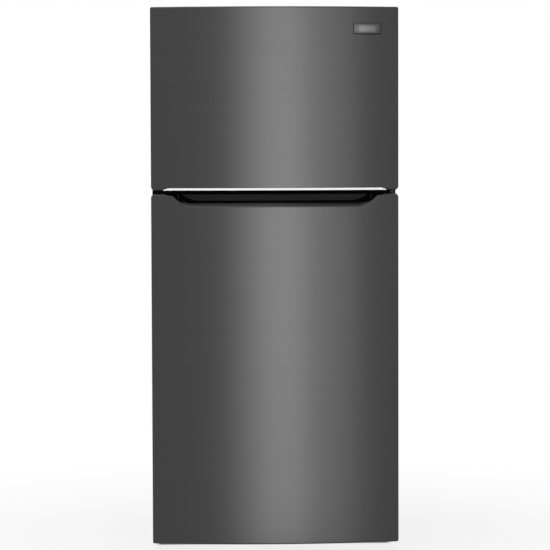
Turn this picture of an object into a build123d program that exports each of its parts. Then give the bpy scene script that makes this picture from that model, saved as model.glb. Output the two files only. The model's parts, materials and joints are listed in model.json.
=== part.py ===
from build123d import *
import os
from math import asin, cos, degrees, sin, sqrt

# Top freezer refrigerator with two bowed steel doors hung on the right.
# Millimetres. +X is the right seen from the front, the doors face -Y, +Z is up.
# The origin is on the floor, in the middle of the footprint.

# Outside of the cabinet and the doors
cabinet_width = 750.0
cabinet_depth = 700.0
door_width = 756.0
door_edge_depth = 62.0
door_bow = 36.0
gasket_gap = 12.0
door_floor_gap = 36.0
food_door_height = 1072.0
door_gap = 11.0
freezer_door_height = 557.0
door_brow = 14.0
cabinet_floor_gap = 26.0

# Wall thicknesses and clearances
steel = 1.0
liner_wall = 2.5
moulding = 2.5
side_insulation = 55.0
roof_insulation = 60.0
rear_insulation = 62.0
mullion_height = 64.0
floor_insulation = 44.0
fit = 0.3
hinge_clearance = 1.5
running_play = 0.06
slide_play = 0.5

# Doors
skin_rounding = 5.0
freezer_top_corner = 6.0
gap_corner = 12.0
food_bottom_corner = 5.5
skin_lip = 8.0
brow_depth = 14.0
cap_thickness = 20.0
hinge_inset = 18.0
hinge_setback = 22.0
pin_radius = 4.0
pin_reach = 15.0
leaf_thickness = 3.0
leaf_round = 11.0
leaf_inset = 31.0
leaf_width = 44.0
leaf_length = 68.0
leaf_setback = 12.0
hinge_plate_width = 19.0
hinge_plate_thickness = 2.5
screw_radius = 2.5
screw_head = 5.0
dyke_gap = 8.0
dyke_width = 26.0
dyke_reach = 38.0
gasket_width = 16.0
gasket_side_inset = 23.0
gasket_gap_inset = 6.0
gasket_end_inset = 26.0
door_bin_depth = 96.0
bin_height = 96.0
bin_corner = 12.0
bin_lug = 7.0
freezer_bin_rise = 44.0
freezer_bin_pitch = 200.0
food_bin_height = 100.0
food_bin_rise = 52.0
food_bin_pitch = 218.0
high_bin_rise = 6.0
dairy_rise = 200.0
dairy_height = 80.0
lid_pin = 3.0
ear_wall = 5.0
lid_lip_width = 120.0

# Handle pocket in the top of the food door, and grip under the freezer door
handle_top_half = 316.0
handle_bottom_half = 277.0
handle_depth = 39.5
handle_top_blend = 28.0
handle_bottom_blend = 48.0
bevel_depth = 12.5
bevel_rise = 12.0
trough_drop = 16.0
trough_reach = 41.0
notch_half = 343.0
notch_slant = 16.5
notch_height = 7.0
grip_slot = 18.0
grip_height = 36.0

# Badge plate on the freezer door
badge_width = 86.0
badge_height = 34.0
badge_centre_x = 282.0
badge_below_top = 67.0

# Inside of the cabinet
food_floor = 100.0
step_height = 230.0
step_blend = 30.0
liner_radius = 18.0
flange_width = 45.0
shell_corner = 8.0
ledge_width = 12.0
ledge_height = 6.0
shelf_setback = 130.0
shelf_bar = 24.0
shelf_height = 16.0
glass_thickness = 4.6
upper_shelf_top = 850.0
lower_shelf_top = 650.0
crisper_cover_top = 395.0
drawer_wall = 3.0
crisper_setback = 150.0
deli_height = 106.0
cover_depth = 45.0
fan_radius = 50.0
fan_width = 14.0
shaft_radius = 2.5
coil_side_room = 90.0
coil_pitch = 42.0
coil_tube = 4.5
fin_pitch = 34.0
heater_radius = 4.0
wire_radius = 3.5
wire_width = 3.6
wire_pitch = 34.0
housing_depth = 150.0
housing_height = 58.0
housing_side_room = 40.0
lens_width = 180.0
lens_depth = 80.0
lens_thickness = 10.0
dial_radius = 20.0
dial_left = 120.0
switch_size = 10.0
switch_length = 44.0
deli_depth = 330.0
deli_side_room = 46.0
deli_rim = 12.0
deli_pull_width = 180.0
rail_drop = 34.0
crisper_gap = 8.0
pull_width = 150.0
pull_reach = 9.0
pull_height = 12.0

# Machine compartment and feet
beam_height = 38.0
beam_depth = 40.0
rail_width = 38.0
rail_height = 26.0
sheet = 2.0
post_radius = 6.0
foot_radius = 15.0
foot_height = 9.0
leg_setback = 145.0
grille_bottom = 21.5
roller_radius = 20.0
axle_radius = 5.0
condenser_fan_radius = 66.0
compressor_radius = 76.0
compressor_height = 160.0
tube_radius = 3.2
compressor_inset = 184.0
pass_pitch = 28.0
fan_plate_height = 205.0

# Levels and planes that follow from the sizes above
total_depth = door_bow + door_edge_depth + gasket_gap + cabinet_depth
front_y = -total_depth / 2
door_edge_y = front_y + door_bow
door_back_y = door_edge_y + door_edge_depth
flange_y = door_back_y + gasket_gap
rear_y = flange_y + cabinet_depth
food_door_bottom = door_floor_gap
food_door_top = food_door_bottom + food_door_height
freezer_door_bottom = food_door_top + door_gap
freezer_door_top = freezer_door_bottom + freezer_door_height
freezer_cap_top = freezer_door_top - door_brow
cabinet_top = freezer_cap_top + hinge_clearance
mullion_z = (food_door_top + freezer_door_bottom) / 2
half_cabinet = cabinet_width / 2
half_door = door_width / 2
half_cavity = half_cabinet - side_insulation
half_flange = half_cabinet - flange_width
half_inside = half_cabinet - steel - fit
freezer_floor = mullion_z + mullion_height / 2
freezer_roof = cabinet_top - roof_insulation
food_roof = mullion_z - mullion_height / 2
cavity_rear_y = rear_y - rear_insulation
rail_half = mullion_height / 2 - 4

bow_radius = half_door**2 / (2 * door_bow) + door_bow / 2
bow_axis_y = front_y + bow_radius
bow_axis = Axis((0, bow_axis_y, 0), (0, 0, 1))
hinge_x = half_door - hinge_inset
hinge_y = door_back_y - hinge_setback
bore_radius = pin_radius + running_play
skin_inset = steel + fit
core_back_y = door_back_y - liner_wall - fit

beam_front_y = flange_y + steel + fit
beam_back_y = beam_front_y + beam_depth
rail_bottom = cabinet_floor_gap
rail_top = rail_bottom + rail_height
beam_top = rail_top + beam_height
deck_z = food_floor - floor_insulation
panel_y = rear_y - 10
deck_slope_front_y = cavity_rear_y - 225
deck_slope_rear_y = cavity_rear_y - 130
step_front_y = deck_slope_front_y - 25
step_rear_y = deck_slope_rear_y - 25
step_top = food_floor + step_height
machine_roof = step_top - floor_insulation - 1
shelf_front_y = flange_y + shelf_setback
shelf_rear_y = cavity_rear_y - 6
shelf_half = half_cavity - 2

base_on = (Align.CENTER, Align.CENTER, Align.MIN)
hang_from = (Align.CENTER, Align.CENTER, Align.MAX)
front_on = (Align.CENTER, Align.MIN, Align.CENTER)
front_base = (Align.CENTER, Align.MIN, Align.MIN)

os.makedirs("parts", exist_ok=True)


def facing(y):
    # Upright plane seen from the front, at a given distance back
    return Plane.XZ.offset(-y)


def level(z):
    # Horizontal plane at a given height
    return Plane.XY.offset(z)


def bow_y(x, inset):
    # Where the bowed front, moved back by an inset, stands at a given x
    return bow_axis_y - sqrt((bow_radius - inset) ** 2 - x**2)


def bowed_plan(z, inset, half_width, back_y):
    # Plan of a slab with the doors' bowed front and straight sides and back
    with BuildSketch(level(z)) as plan:
        with BuildLine():
            side_y = bow_y(half_width, inset)
            ThreePointArc((-half_width, side_y), (0, bow_y(0, inset)), (half_width, side_y))
            Polyline((half_width, side_y), (half_width, back_y), (-half_width, back_y), (-half_width, side_y))
        make_face()
    return plan.sketch


def bowed_ring(section, left_x, right_x):
    # Section points give depth behind the front and height, swung round the bow's axis
    start = asin(left_x / bow_radius)
    turn = asin(right_x / bow_radius) - start
    radial = (sin(start), -cos(start), 0)
    inward = (-cos(start), -sin(start), 0)
    with BuildPart() as ring:
        with BuildSketch(Plane((0, bow_axis_y, 0), x_dir=radial, z_dir=inward)):
            Polygon(*[(bow_radius - depth, z) for depth, z in section], align=None)
        revolve(axis=bow_axis, revolution_arc=degrees(turn))
    return ring.part


def rounded_top(y, half_width, bottom, top, radius):
    # Upright panel outline with its two upper corners rounded
    with BuildSketch(facing(y)) as outline:
        with Locations((0, bottom)):
            Rectangle(2 * half_width, top - bottom, align=(Align.CENTER, Align.MIN))
        fillet(outline.vertices().sort_by(Axis.Y)[-2:], radius)
    return outline.sketch


def upright_block(y, half_width, bottom, top, radius):
    # Upright panel outline with all four corners rounded
    with BuildSketch(facing(y)) as outline:
        with Locations((0, (bottom + top) / 2)):
            RectangleRounded(2 * half_width, top - bottom, radius)
    return outline.sketch


def door_core(bottom, top, top_corner, bottom_corner, inset, back_y):
    # Solid with the outer form of a door, smaller by an inset
    with BuildPart() as core:
        height = top - bottom - 2 * inset
        extrude(bowed_plan(bottom + inset, inset, half_door - inset, back_y), amount=height)
        corners = core.edges().filter_by(Axis.Y).sort_by(Axis.Z)
        fillet(corners[:2], bottom_corner - inset)
        corners = core.edges().filter_by(Axis.Y).sort_by(Axis.Z)
        fillet(corners[-2:], top_corner - inset)
        front = core.faces().sort_by(Axis.Y)[0]
        fillet(front.edges(), skin_rounding - inset)
    return core.part


def slab(bottom, top):
    # Wide block between two heights, for cutting a door core into pieces
    with BuildPart() as block:
        with Locations((0, 0, bottom)):
            Box(2 * door_width, 2 * total_depth, top - bottom, align=base_on)
    return block.part


def handle_outline(y, drop, grow):
    # Front outline of the handle pocket, with S-curved ends running out into the door's top edge
    floor = food_door_top - handle_depth
    with BuildSketch(facing(y)) as outline:
        with BuildLine():
            Polyline(
                (-half_door, food_door_top),
                (-handle_top_half, food_door_top),
                (-handle_bottom_half, floor),
                (handle_bottom_half, floor),
                (handle_top_half, food_door_top),
                (half_door, food_door_top),
                (half_door, food_door_top + handle_depth),
                (-half_door, food_door_top + handle_depth),
                close=True,
            )
        make_face()
        bends = [corner for corner in outline.vertices() if abs(corner.X) < half_door - 1]
        fillet([corner for corner in bends if corner.Y < floor + 1], handle_bottom_blend)
        fillet([corner for corner in bends if corner.Y > floor + 1], handle_top_blend)
        if drop > 0:
            with Locations((0, floor)):
                Rectangle(2 * handle_bottom_half - handle_bottom_blend, 2 * drop)
        if grow > 0:
            offset(amount=grow)
    return outline.sketch


def cavity_profile(points, grow):
    # Side outline of a compartment, made larger all round by an offset
    with BuildSketch(Plane.YZ) as outline:
        Polygon(*points, align=None)
        if len(points) > 4:
            fillet(outline.vertices().sort_by_distance((step_rear_y, step_top, 0))[0], step_blend)
        offset(amount=grow, kind=Kind.INTERSECTION)
    return outline.sketch


def liner_shell(points, lip_bottom, lip_top, bottom, top):
    # Thin moulded box open to the front, with a flat lip round its mouth
    with BuildPart() as shell:
        extrude(cavity_profile(points, liner_wall), amount=half_cavity + liner_wall, both=True)
        with Locations((0, flange_y, 0)):
            ahead = (Align.CENTER, Align.MAX, Align.CENTER)
            Box(2 * cabinet_width, 10 * liner_wall, 3 * freezer_door_top, align=ahead, mode=Mode.SUBTRACT)
        rim = [edge.center() for edge in shell.faces().sort_by(Axis.Y)[0].edges()]
        inner = [edge for edge in shell.edges() if min((edge.center() - spot).length for spot in rim) > 0.1]
        fillet(inner, liner_radius + liner_wall)
        offset(amount=-liner_wall, openings=shell.faces().sort_by(Axis.Y)[0])
        with BuildSketch(facing(flange_y)):
            with Locations((0, (lip_bottom + lip_top) / 2)):
                Rectangle(2 * (half_flange - fit), lip_top - lip_bottom)
            with Locations((0, (bottom + top) / 2)):
                RectangleRounded(2 * half_cavity, top - bottom, liner_radius, mode=Mode.SUBTRACT)
        extrude(amount=-liner_wall)
    return shell.part


def ring_prism(y, depth, half_width, bottom, top, width, radius):
    # Rectangular frame, standing upright and reaching back from a plane
    with BuildSketch(facing(y)) as outline:
        with Locations((0, (bottom + top) / 2)):
            RectangleRounded(2 * half_width, top - bottom, radius)
            inner_radius = max(radius - width, 1)
            RectangleRounded(
                2 * (half_width - width), top - bottom - 2 * width, inner_radius, mode=Mode.SUBTRACT
            )
    with BuildPart() as prism:
        extrude(outline.sketch, amount=-depth)
    return prism.part


def door_liner(bottom, top, dyke_bottom, dyke_top):
    # Moulded inside of a door, with the hollow dyke that reaches into the compartment
    dyke_half = half_cavity - dyke_gap
    dyke_depth = gasket_gap + dyke_reach
    with BuildPart() as panel:
        backing = upright_block(door_back_y, half_door - skin_inset, bottom, top, gap_corner + 1)
        extrude(backing, amount=liner_wall)
        add(ring_prism(door_back_y, dyke_depth, dyke_half, dyke_bottom, dyke_top, dyke_width, 24))
        rear = panel.faces().sort_by(Axis.Y)[-1]
        fillet(rear.edges(), 4)
        hollow = ring_prism(
            door_back_y - liner_wall,
            dyke_depth,
            dyke_half - liner_wall,
            dyke_bottom + liner_wall,
            dyke_top - liner_wall,
            dyke_width - 2 * liner_wall,
            21,
        )
        add(hollow, mode=Mode.SUBTRACT)
    return panel.part


def gasket(bottom, top):
    # Magnetic seal: foot, narrower bellows and a flat face, one on another
    half = half_cabinet - gasket_side_inset
    foot = 4.0
    bellows = 3.5
    face_y = door_back_y + foot + bellows
    with BuildPart() as seal:
        add(ring_prism(door_back_y + fit / 2, foot, half, bottom, top, gasket_width, 10))
        add(ring_prism(door_back_y + foot, bellows + fit, half - 3, bottom + 3, top - 3, gasket_width - 6, 7))
        add(ring_prism(face_y, flange_y - fit - face_y, half, bottom, top, gasket_width, 10))
    return seal.part


def tray(left_x, right_x, y0, y1, bottom, top, wall, corner):
    # Open box with rounded upright corners
    middle_x = (left_x + right_x) / 2
    middle_y = (y0 + y1) / 2
    width = right_x - left_x
    depth = y1 - y0
    with BuildPart() as box:
        with BuildSketch(level(bottom)):
            with Locations((middle_x, middle_y)):
                RectangleRounded(width, depth, corner)
        extrude(amount=top - bottom)
        with BuildSketch(level(bottom + wall)):
            with Locations((middle_x, middle_y)):
                RectangleRounded(width - 2 * wall, depth - 2 * wall, corner - wall / 2)
        extrude(amount=top - bottom, mode=Mode.SUBTRACT)
    return box.part


def shelf_frame(top):
    # Moulded shelf rim with a rebate that takes the glass
    depth = shelf_rear_y - shelf_front_y
    middle_y = (shelf_front_y + shelf_rear_y) / 2
    rebate = shelf_bar / 2
    with BuildPart() as rim:
        with BuildSketch(level(top - shelf_height)):
            with Locations((0, middle_y)):
                RectangleRounded(2 * shelf_half, depth, liner_radius)
                Rectangle(2 * (shelf_half - shelf_bar), depth - 2 * shelf_bar, mode=Mode.SUBTRACT)
        extrude(amount=shelf_height)
        with BuildSketch(level(top)):
            with Locations((0, middle_y)):
                Rectangle(2 * (shelf_half - rebate), depth - 2 * rebate)
        extrude(amount=-glass_thickness - fit, mode=Mode.SUBTRACT)
    return rim.part


def glass_pane(top):
    # Glass lying in a shelf frame's rebate, flush with its top
    edge = shelf_bar / 2 + fit
    with BuildPart() as pane:
        with Locations((0, (shelf_front_y + shelf_rear_y) / 2, top)):
            pane_depth = shelf_rear_y - shelf_front_y - 2 * edge
            Box(2 * (shelf_half - edge), pane_depth, glass_thickness, align=hang_from)
    return pane.part


def fan_wheel(radius, hub_radius, width, shaft_radius, blades):
    # Axial fan on +Z with pitched blades and a plain bore
    span = radius - hub_radius + 2
    with BuildPart() as wheel:
        Cylinder(hub_radius, width)
        with PolarLocations(0, blades):
            with Locations(Location((hub_radius - 2 + span / 2, 0, 0), (32, 0, 0))):
                Box(span, radius * 0.62, 1.8)
        Cylinder(radius, width * 3, mode=Mode.INTERSECT)
        Cylinder(shaft_radius + running_play, width * 2, mode=Mode.SUBTRACT)
    return wheel.part


# Steel wrapper: two sides, the top and the flange that faces the gaskets
with BuildPart() as cabinet_shell:
    wrapper = rounded_top(flange_y, half_cabinet, cabinet_floor_gap, cabinet_top, shell_corner)
    extrude(wrapper, amount=-cabinet_depth)
    hollow = rounded_top(flange_y + steel, half_cabinet - steel, 0, cabinet_top - steel, shell_corner - steel)
    extrude(hollow, amount=-cabinet_depth, mode=Mode.SUBTRACT)
    with BuildSketch(facing(flange_y)):
        Rectangle(2 * half_flange, cabinet_top - flange_width, align=(Align.CENTER, Align.MIN))
    extrude(amount=-2 * steel, mode=Mode.SUBTRACT)
cabinet_shell.part.label = "cabinet_shell"
export_step(cabinet_shell.part, "parts/cabinet_shell.step")

# Rear sheet with three stiffening beads
with BuildPart() as back_panel:
    panel_top = cabinet_top - steel - fit
    extrude(rounded_top(panel_y, half_inside, machine_roof, panel_top, shell_corner - steel), amount=-steel)
    with BuildSketch(facing(panel_y + steel)):
        with Locations((0, (machine_roof + panel_top) / 2)):
            with GridLocations(0, (panel_top - machine_roof) / 3, 1, 3):
                SlotOverall(cabinet_width * 0.7, 60)
    extrude(amount=-2)
back_panel.part.label = "back_panel"
export_step(back_panel.part, "parts/back_panel.step")

# Bent sheet under the insulation, rising over the machine compartment
with BuildPart() as base_deck:
    upper = [
        (beam_back_y + fit, deck_z),
        (deck_slope_front_y, deck_z),
        (deck_slope_rear_y, machine_roof),
        (panel_y - fit, machine_roof),
    ]
    under = [(y, z - steel - fit) for y, z in upper]
    top_side = [(y, z - fit) for y, z in upper]
    with BuildSketch(Plane.YZ):
        Polygon(*top_side, *under[::-1], align=None)
    extrude(amount=half_inside, both=True)
base_deck.part.label = "base_deck"
export_step(base_deck.part, "parts/base_deck.step")

# Welded base: front beam, two side rails, rear tray, roller axles and leg nuts
rail_x = half_inside - rail_width / 2
roller_y = rear_y - 60
leg_y = flange_y + leg_setback
tray_front_y = deck_slope_front_y + 40
with BuildPart() as base_frame:
    with Locations((0, beam_front_y, rail_top)):
        Box(2 * half_inside, beam_depth, beam_height, align=front_base)
    with Locations((0, beam_front_y + sheet, rail_top + sheet)):
        Box(2 * half_inside, beam_depth, beam_height - 2 * sheet, align=front_base, mode=Mode.SUBTRACT)
    with Locations((-rail_x, beam_front_y, rail_bottom), (rail_x, beam_front_y, rail_bottom)):
        Box(rail_width, panel_y - beam_front_y, rail_height, align=front_base)
    with Locations((-rail_x, beam_front_y + sheet, rail_bottom), (rail_x, beam_front_y + sheet, rail_bottom)):
        inner_width = rail_width - 2 * sheet
        inner_length = panel_y - beam_front_y - 2 * sheet
        Box(inner_width, inner_length, rail_height - sheet, align=front_base, mode=Mode.SUBTRACT)
    with Locations((0, tray_front_y, rail_bottom)):
        Box(2 * (rail_x - rail_width / 2 + sheet), panel_y - tray_front_y, sheet, align=front_base)
    for side in (-rail_x, rail_x):
        with Locations((side, leg_y, rail_top)):
            Cylinder(post_radius + 5, 14, align=hang_from)
        with Locations((side, leg_y, rail_top - sheet)):
            Cylinder(post_radius + running_play, 20, align=hang_from, mode=Mode.SUBTRACT)
        for cheek in (-1, 1):
            with Locations((side + cheek * (rail_width - sheet) / 2, roller_y, rail_bottom)):
                Box(sheet, 2 * axle_radius + 16, 2 * (rail_bottom - roller_radius + axle_radius + 3))
        with Locations((side, roller_y, roller_radius)):
            Cylinder(axle_radius, rail_width - sheet, rotation=(0, 90, 0))
base_frame.part.label = "base_frame"
export_step(base_frame.part, "parts/base_frame.step")

# Slotted plinth between the feet
with BuildPart() as toe_grille:
    grille_y = beam_front_y + 12
    extrude(upright_block(grille_y, rail_x - rail_width / 2 - 2, grille_bottom, rail_top - fit, 3), amount=-3)
    with BuildSketch(facing(grille_y)):
        with Locations((0, (grille_bottom + rail_top) / 2)):
            with GridLocations(62, 11, 9, 2):
                SlotOverall(50, 5)
    extrude(amount=-3, mode=Mode.SUBTRACT)
    with Locations((-200, grille_y, rail_top - fit), (200, grille_y, rail_top - fit)):
        Box(40, 18, 3, align=(Align.CENTER, Align.MIN, Align.MAX))
toe_grille.part.label = "toe_grille"
export_step(toe_grille.part, "parts/toe_grille.step")

# Moulded compartments
freezer_points = [
    (flange_y, freezer_floor),
    (cavity_rear_y, freezer_floor),
    (cavity_rear_y, freezer_roof),
    (flange_y, freezer_roof),
]
food_points = [
    (flange_y, food_floor),
    (step_front_y, food_floor),
    (step_rear_y, step_top),
    (cavity_rear_y, step_top),
    (cavity_rear_y, food_roof),
    (flange_y, food_roof),
]
freezer_shelf_z = (freezer_floor + freezer_roof) / 2
cover_y = cavity_rear_y - liner_radius - 1 - cover_depth
ledge_x = half_cavity - ledge_width / 2
with BuildPart() as freezer_liner:
    lip_low = mullion_z + rail_half + fit
    lip_high = cabinet_top - flange_width - fit
    add(liner_shell(freezer_points, lip_low, lip_high, freezer_floor, freezer_roof))
    ledge_top = freezer_shelf_z - wire_radius - fit
    ledge_length = cover_y - shelf_front_y - 4
    with Locations((-ledge_x, shelf_front_y, ledge_top), (ledge_x, shelf_front_y, ledge_top)):
        Box(ledge_width + 1, ledge_length, ledge_height, align=(Align.CENTER, Align.MIN, Align.MAX))
freezer_liner.part.label = "freezer_liner"
export_step(freezer_liner.part, "parts/freezer_liner.step")

with BuildPart() as food_liner:
    add(liner_shell(food_points, beam_top + fit, mullion_z - rail_half - fit, food_floor, food_roof))
    for shelf_top in (upper_shelf_top, lower_shelf_top, crisper_cover_top):
        ledge_top = shelf_top - shelf_height - fit
        ledge_length = shelf_rear_y - shelf_front_y - liner_radius
        with Locations((-ledge_x, shelf_front_y, ledge_top), (ledge_x, shelf_front_y, ledge_top)):
            Box(ledge_width + 1, ledge_length, ledge_height, align=(Align.CENTER, Align.MIN, Align.MAX))
food_liner.part.label = "food_liner"
export_step(food_liner.part, "parts/food_liner.step")

# Foam between the wrapper, the rear sheet, the deck and the two liners
with BuildPart() as cabinet_insulation:
    foam_front_y = flange_y + liner_wall + 2 * fit
    foam_top = cabinet_top - steel - fit
    foam_rear_y = panel_y - fit
    with BuildSketch(Plane.YZ):
        Polygon(
            (foam_front_y, deck_z),
            (deck_slope_front_y, deck_z),
            (deck_slope_rear_y, machine_roof),
            (foam_rear_y, machine_roof),
            (foam_rear_y, foam_top),
            (foam_front_y, foam_top),
            align=None,
        )
    extrude(amount=half_inside, both=True)
    fillet(cabinet_insulation.edges().filter_by(Axis.Y).sort_by(Axis.Z)[-2:], shell_corner)
    for points in (freezer_points, food_points):
        reach = half_cavity + liner_wall + fit
        extrude(cavity_profile(points, liner_wall + fit), amount=reach, both=True, mode=Mode.SUBTRACT)
    with Locations((0, foam_front_y, 0)):
        beam_room = beam_back_y + fit - foam_front_y
        Box(cabinet_width, beam_room, beam_top + fit, align=front_base, mode=Mode.SUBTRACT)
cabinet_insulation.part.label = "cabinet_insulation"
export_step(cabinet_insulation.part, "parts/cabinet_insulation.step")

# Steel strip across the front between the two compartments
with BuildPart() as mullion_rail:
    strip = upright_block(flange_y, half_flange - fit, mullion_z - rail_half, mullion_z + rail_half, 1)
    extrude(strip, amount=-liner_wall)
mullion_rail.part.label = "mullion_rail"
export_step(mullion_rail.part, "parts/mullion_rail.step")

# Hinges, all on one upright line near the right edge
leaf_right = half_cabinet - leaf_inset
leaf_left = leaf_right - leaf_width
leaf_front_y = flange_y + leaf_setback
leaf_rear_y = leaf_front_y + leaf_length
leaf_middle = ((leaf_left + leaf_right) / 2, (leaf_front_y + leaf_rear_y) / 2)
plate_right = half_cabinet - 2
plate_left = plate_right - hinge_plate_width
plate_x = (plate_left + plate_right) / 2
plate_y = flange_y - fit
arm_top = food_door_bottom - hinge_clearance
top_screws = [
    (leaf_left + 12, leaf_front_y + 14),
    (leaf_right - 10, leaf_front_y + 24),
    (leaf_left + 16, leaf_rear_y - 12),
]


def leaf_outline(grow):
    # Plan of the top hinge's leaf, made larger all round
    with BuildSketch(level(cabinet_top + fit)) as leaf:
        with Locations((hinge_x, hinge_y)):
            Circle(leaf_round + grow)
        with Locations(leaf_middle):
            RectangleRounded(leaf_width + 2 * grow, leaf_length + 2 * grow, 8 + grow)
        make_hull()
    return leaf.sketch


def hinge_arm(z):
    # Plan of a lower hinge's arm, tapering from its screw plate to the pin
    with BuildSketch(level(z)) as arm:
        with Locations((hinge_x, hinge_y)):
            Circle(leaf_round)
        Polygon(
            (plate_left, plate_y),
            (hinge_x - leaf_round, hinge_y),
            (hinge_x + leaf_round, hinge_y),
            (plate_right, plate_y),
            align=None,
        )
    return arm.sketch


with BuildPart() as top_hinge:
    extrude(leaf_outline(0), amount=leaf_thickness)
    with Locations(*[(x, y, cabinet_top) for x, y in top_screws]):
        Cylinder(screw_radius + fit, 4 * leaf_thickness, mode=Mode.SUBTRACT)
    with Locations((hinge_x, hinge_y, cabinet_top + fit + leaf_thickness)):
        Cylinder(pin_radius, leaf_thickness + hinge_clearance + pin_reach, align=hang_from)
top_hinge.part.label = "top_hinge"
export_step(top_hinge.part, "parts/top_hinge.step")

# Shallow cap over the top hinge
with BuildPart() as top_hinge_cover:
    cover_height = freezer_door_top - 3 - cabinet_top - fit
    extrude(leaf_outline(3), amount=cover_height)
    fillet(top_hinge_cover.faces().sort_by(Axis.Z)[-1].edges(), 2)
    extrude(leaf_outline(1), amount=cover_height - 2, mode=Mode.SUBTRACT)
top_hinge_cover.part.label = "top_hinge_cover"
export_step(top_hinge_cover.part, "parts/top_hinge_cover.step")

with BuildPart() as centre_hinge:
    extrude(hinge_arm(mullion_z - leaf_thickness / 2), amount=leaf_thickness)
    with Locations((plate_x, plate_y, mullion_z)):
        centred = (Align.CENTER, Align.MAX, Align.CENTER)
        Box(hinge_plate_width, hinge_plate_thickness, 2 * rail_half - 4, align=centred)
    with Locations((hinge_x, hinge_y, mullion_z)):
        Cylinder(pin_radius, door_gap + 2 * pin_reach)
    with Locations((plate_x, plate_y, mullion_z + 16), (plate_x, plate_y, mullion_z - 16)):
        Cylinder(screw_radius + fit, 12, rotation=(90, 0, 0), mode=Mode.SUBTRACT)
centre_hinge.part.label = "centre_hinge"
export_step(centre_hinge.part, "parts/centre_hinge.step")

with BuildPart() as bottom_hinge:
    extrude(hinge_arm(arm_top), amount=-leaf_thickness)
    with Locations((plate_x, plate_y, arm_top - leaf_thickness)):
        standing = (Align.CENTER, Align.MAX, Align.MIN)
        Box(hinge_plate_width, hinge_plate_thickness, 56, align=standing)
    with Locations((hinge_x, hinge_y, arm_top - leaf_thickness)):
        Cylinder(pin_radius, leaf_thickness + hinge_clearance + pin_reach, align=base_on)
    with Locations((plate_x, plate_y, arm_top + 18), (plate_x, plate_y, arm_top + 40)):
        Cylinder(screw_radius + fit, 12, rotation=(90, 0, 0), mode=Mode.SUBTRACT)
bottom_hinge.part.label = "bottom_hinge"
export_step(bottom_hinge.part, "parts/bottom_hinge.step")

# Low pan-head screws of the three hinges
with BuildPart() as hinge_screws:
    for x, y in top_screws:
        with Locations((x, y, cabinet_top + fit + leaf_thickness + fit / 2)):
            Cylinder(screw_head, 1.8, align=base_on)
            Cylinder(screw_radius, leaf_thickness, align=hang_from)
            Box(6, 1.2, 3, mode=Mode.SUBTRACT)
    for z in (mullion_z + 16, mullion_z - 16, arm_top + 18, arm_top + 40):
        with Locations(Location((plate_x, plate_y - hinge_plate_thickness - fit / 2, z), (90, 0, 0))):
            Cylinder(screw_head, 1.2, align=base_on)
            Cylinder(screw_radius, hinge_plate_thickness, align=hang_from)
            Box(6, 1.2, 1.6, mode=Mode.SUBTRACT)
hinge_screws.part.label = "hinge_screws"
export_step(hinge_screws.part, "parts/hinge_screws.step")

# Freezer door, from the front inwards
freezer_form = (freezer_door_bottom, freezer_door_top, freezer_top_corner, gap_corner)
with BuildPart() as freezer_door_skin:
    add(door_core(*freezer_form, 0, door_back_y))
    offset(amount=-steel, openings=freezer_door_skin.faces().sort_by(Axis.Y)[-1])
    brow_room = bowed_plan(freezer_cap_top, brow_depth, half_door + 2, door_back_y + 2)
    extrude(brow_room, amount=door_brow + 2, mode=Mode.SUBTRACT)
    window = bowed_plan(freezer_door_bottom - 1, skin_lip, half_door - skin_lip, door_back_y + 2)
    extrude(window, amount=2 * steel + 1, mode=Mode.SUBTRACT)
    with BuildSketch(facing(front_y - 1)):
        Polygon(
            (-notch_half, freezer_door_bottom),
            (-notch_half, freezer_door_bottom - 2),
            (notch_half, freezer_door_bottom - 2),
            (notch_half, freezer_door_bottom),
            (notch_half - notch_slant, freezer_door_bottom + notch_height),
            (-notch_half + notch_slant, freezer_door_bottom + notch_height),
            align=None,
        )
    extrude(amount=-door_bow - skin_lip - 4, mode=Mode.SUBTRACT)
freezer_door_skin.part.label = "freezer_door_skin"
export_step(freezer_door_skin.part, "parts/freezer_door_skin.step")

grip_depth = skin_inset + 2 * moulding + grip_slot
grip_half = notch_half - notch_slant / 2
grip_roof = freezer_door_bottom + grip_height
cap_low = freezer_door_bottom + cap_thickness
cap_high = freezer_cap_top - cap_thickness
with BuildPart() as freezer_top_cap:
    add(door_core(*freezer_form, skin_inset, core_back_y))
    add(slab(cap_high, freezer_door_top), mode=Mode.INTERSECT)
    brow_room = bowed_plan(freezer_cap_top, brow_depth - 1, half_door + 2, door_back_y + 2)
    extrude(brow_room, amount=door_brow + 2, mode=Mode.SUBTRACT)
    with Locations((hinge_x, hinge_y, freezer_cap_top)):
        Cylinder(bore_radius, pin_reach + 2, align=hang_from, mode=Mode.SUBTRACT)
with BuildPart() as freezer_bottom_cap:
    add(door_core(*freezer_form, skin_inset, core_back_y))
    add(slab(freezer_door_bottom, cap_low), mode=Mode.INTERSECT)
    grip_room = bowed_ring(
        [
            (-1, freezer_door_bottom - 1),
            (grip_depth + fit, freezer_door_bottom - 1),
            (grip_depth + fit, cap_low + 1),
            (-1, cap_low + 1),
        ],
        -grip_half - fit,
        grip_half + fit,
    )
    add(grip_room, mode=Mode.SUBTRACT)
    with Locations((hinge_x, hinge_y, freezer_door_bottom)):
        Cylinder(bore_radius, pin_reach + 2, align=base_on, mode=Mode.SUBTRACT)
with BuildPart() as freezer_door_caps:
    add(freezer_top_cap.part)
    add(freezer_bottom_cap.part)
freezer_door_caps.part.label = "freezer_door_caps"
export_step(freezer_door_caps.part, "parts/freezer_door_caps.step")

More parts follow.
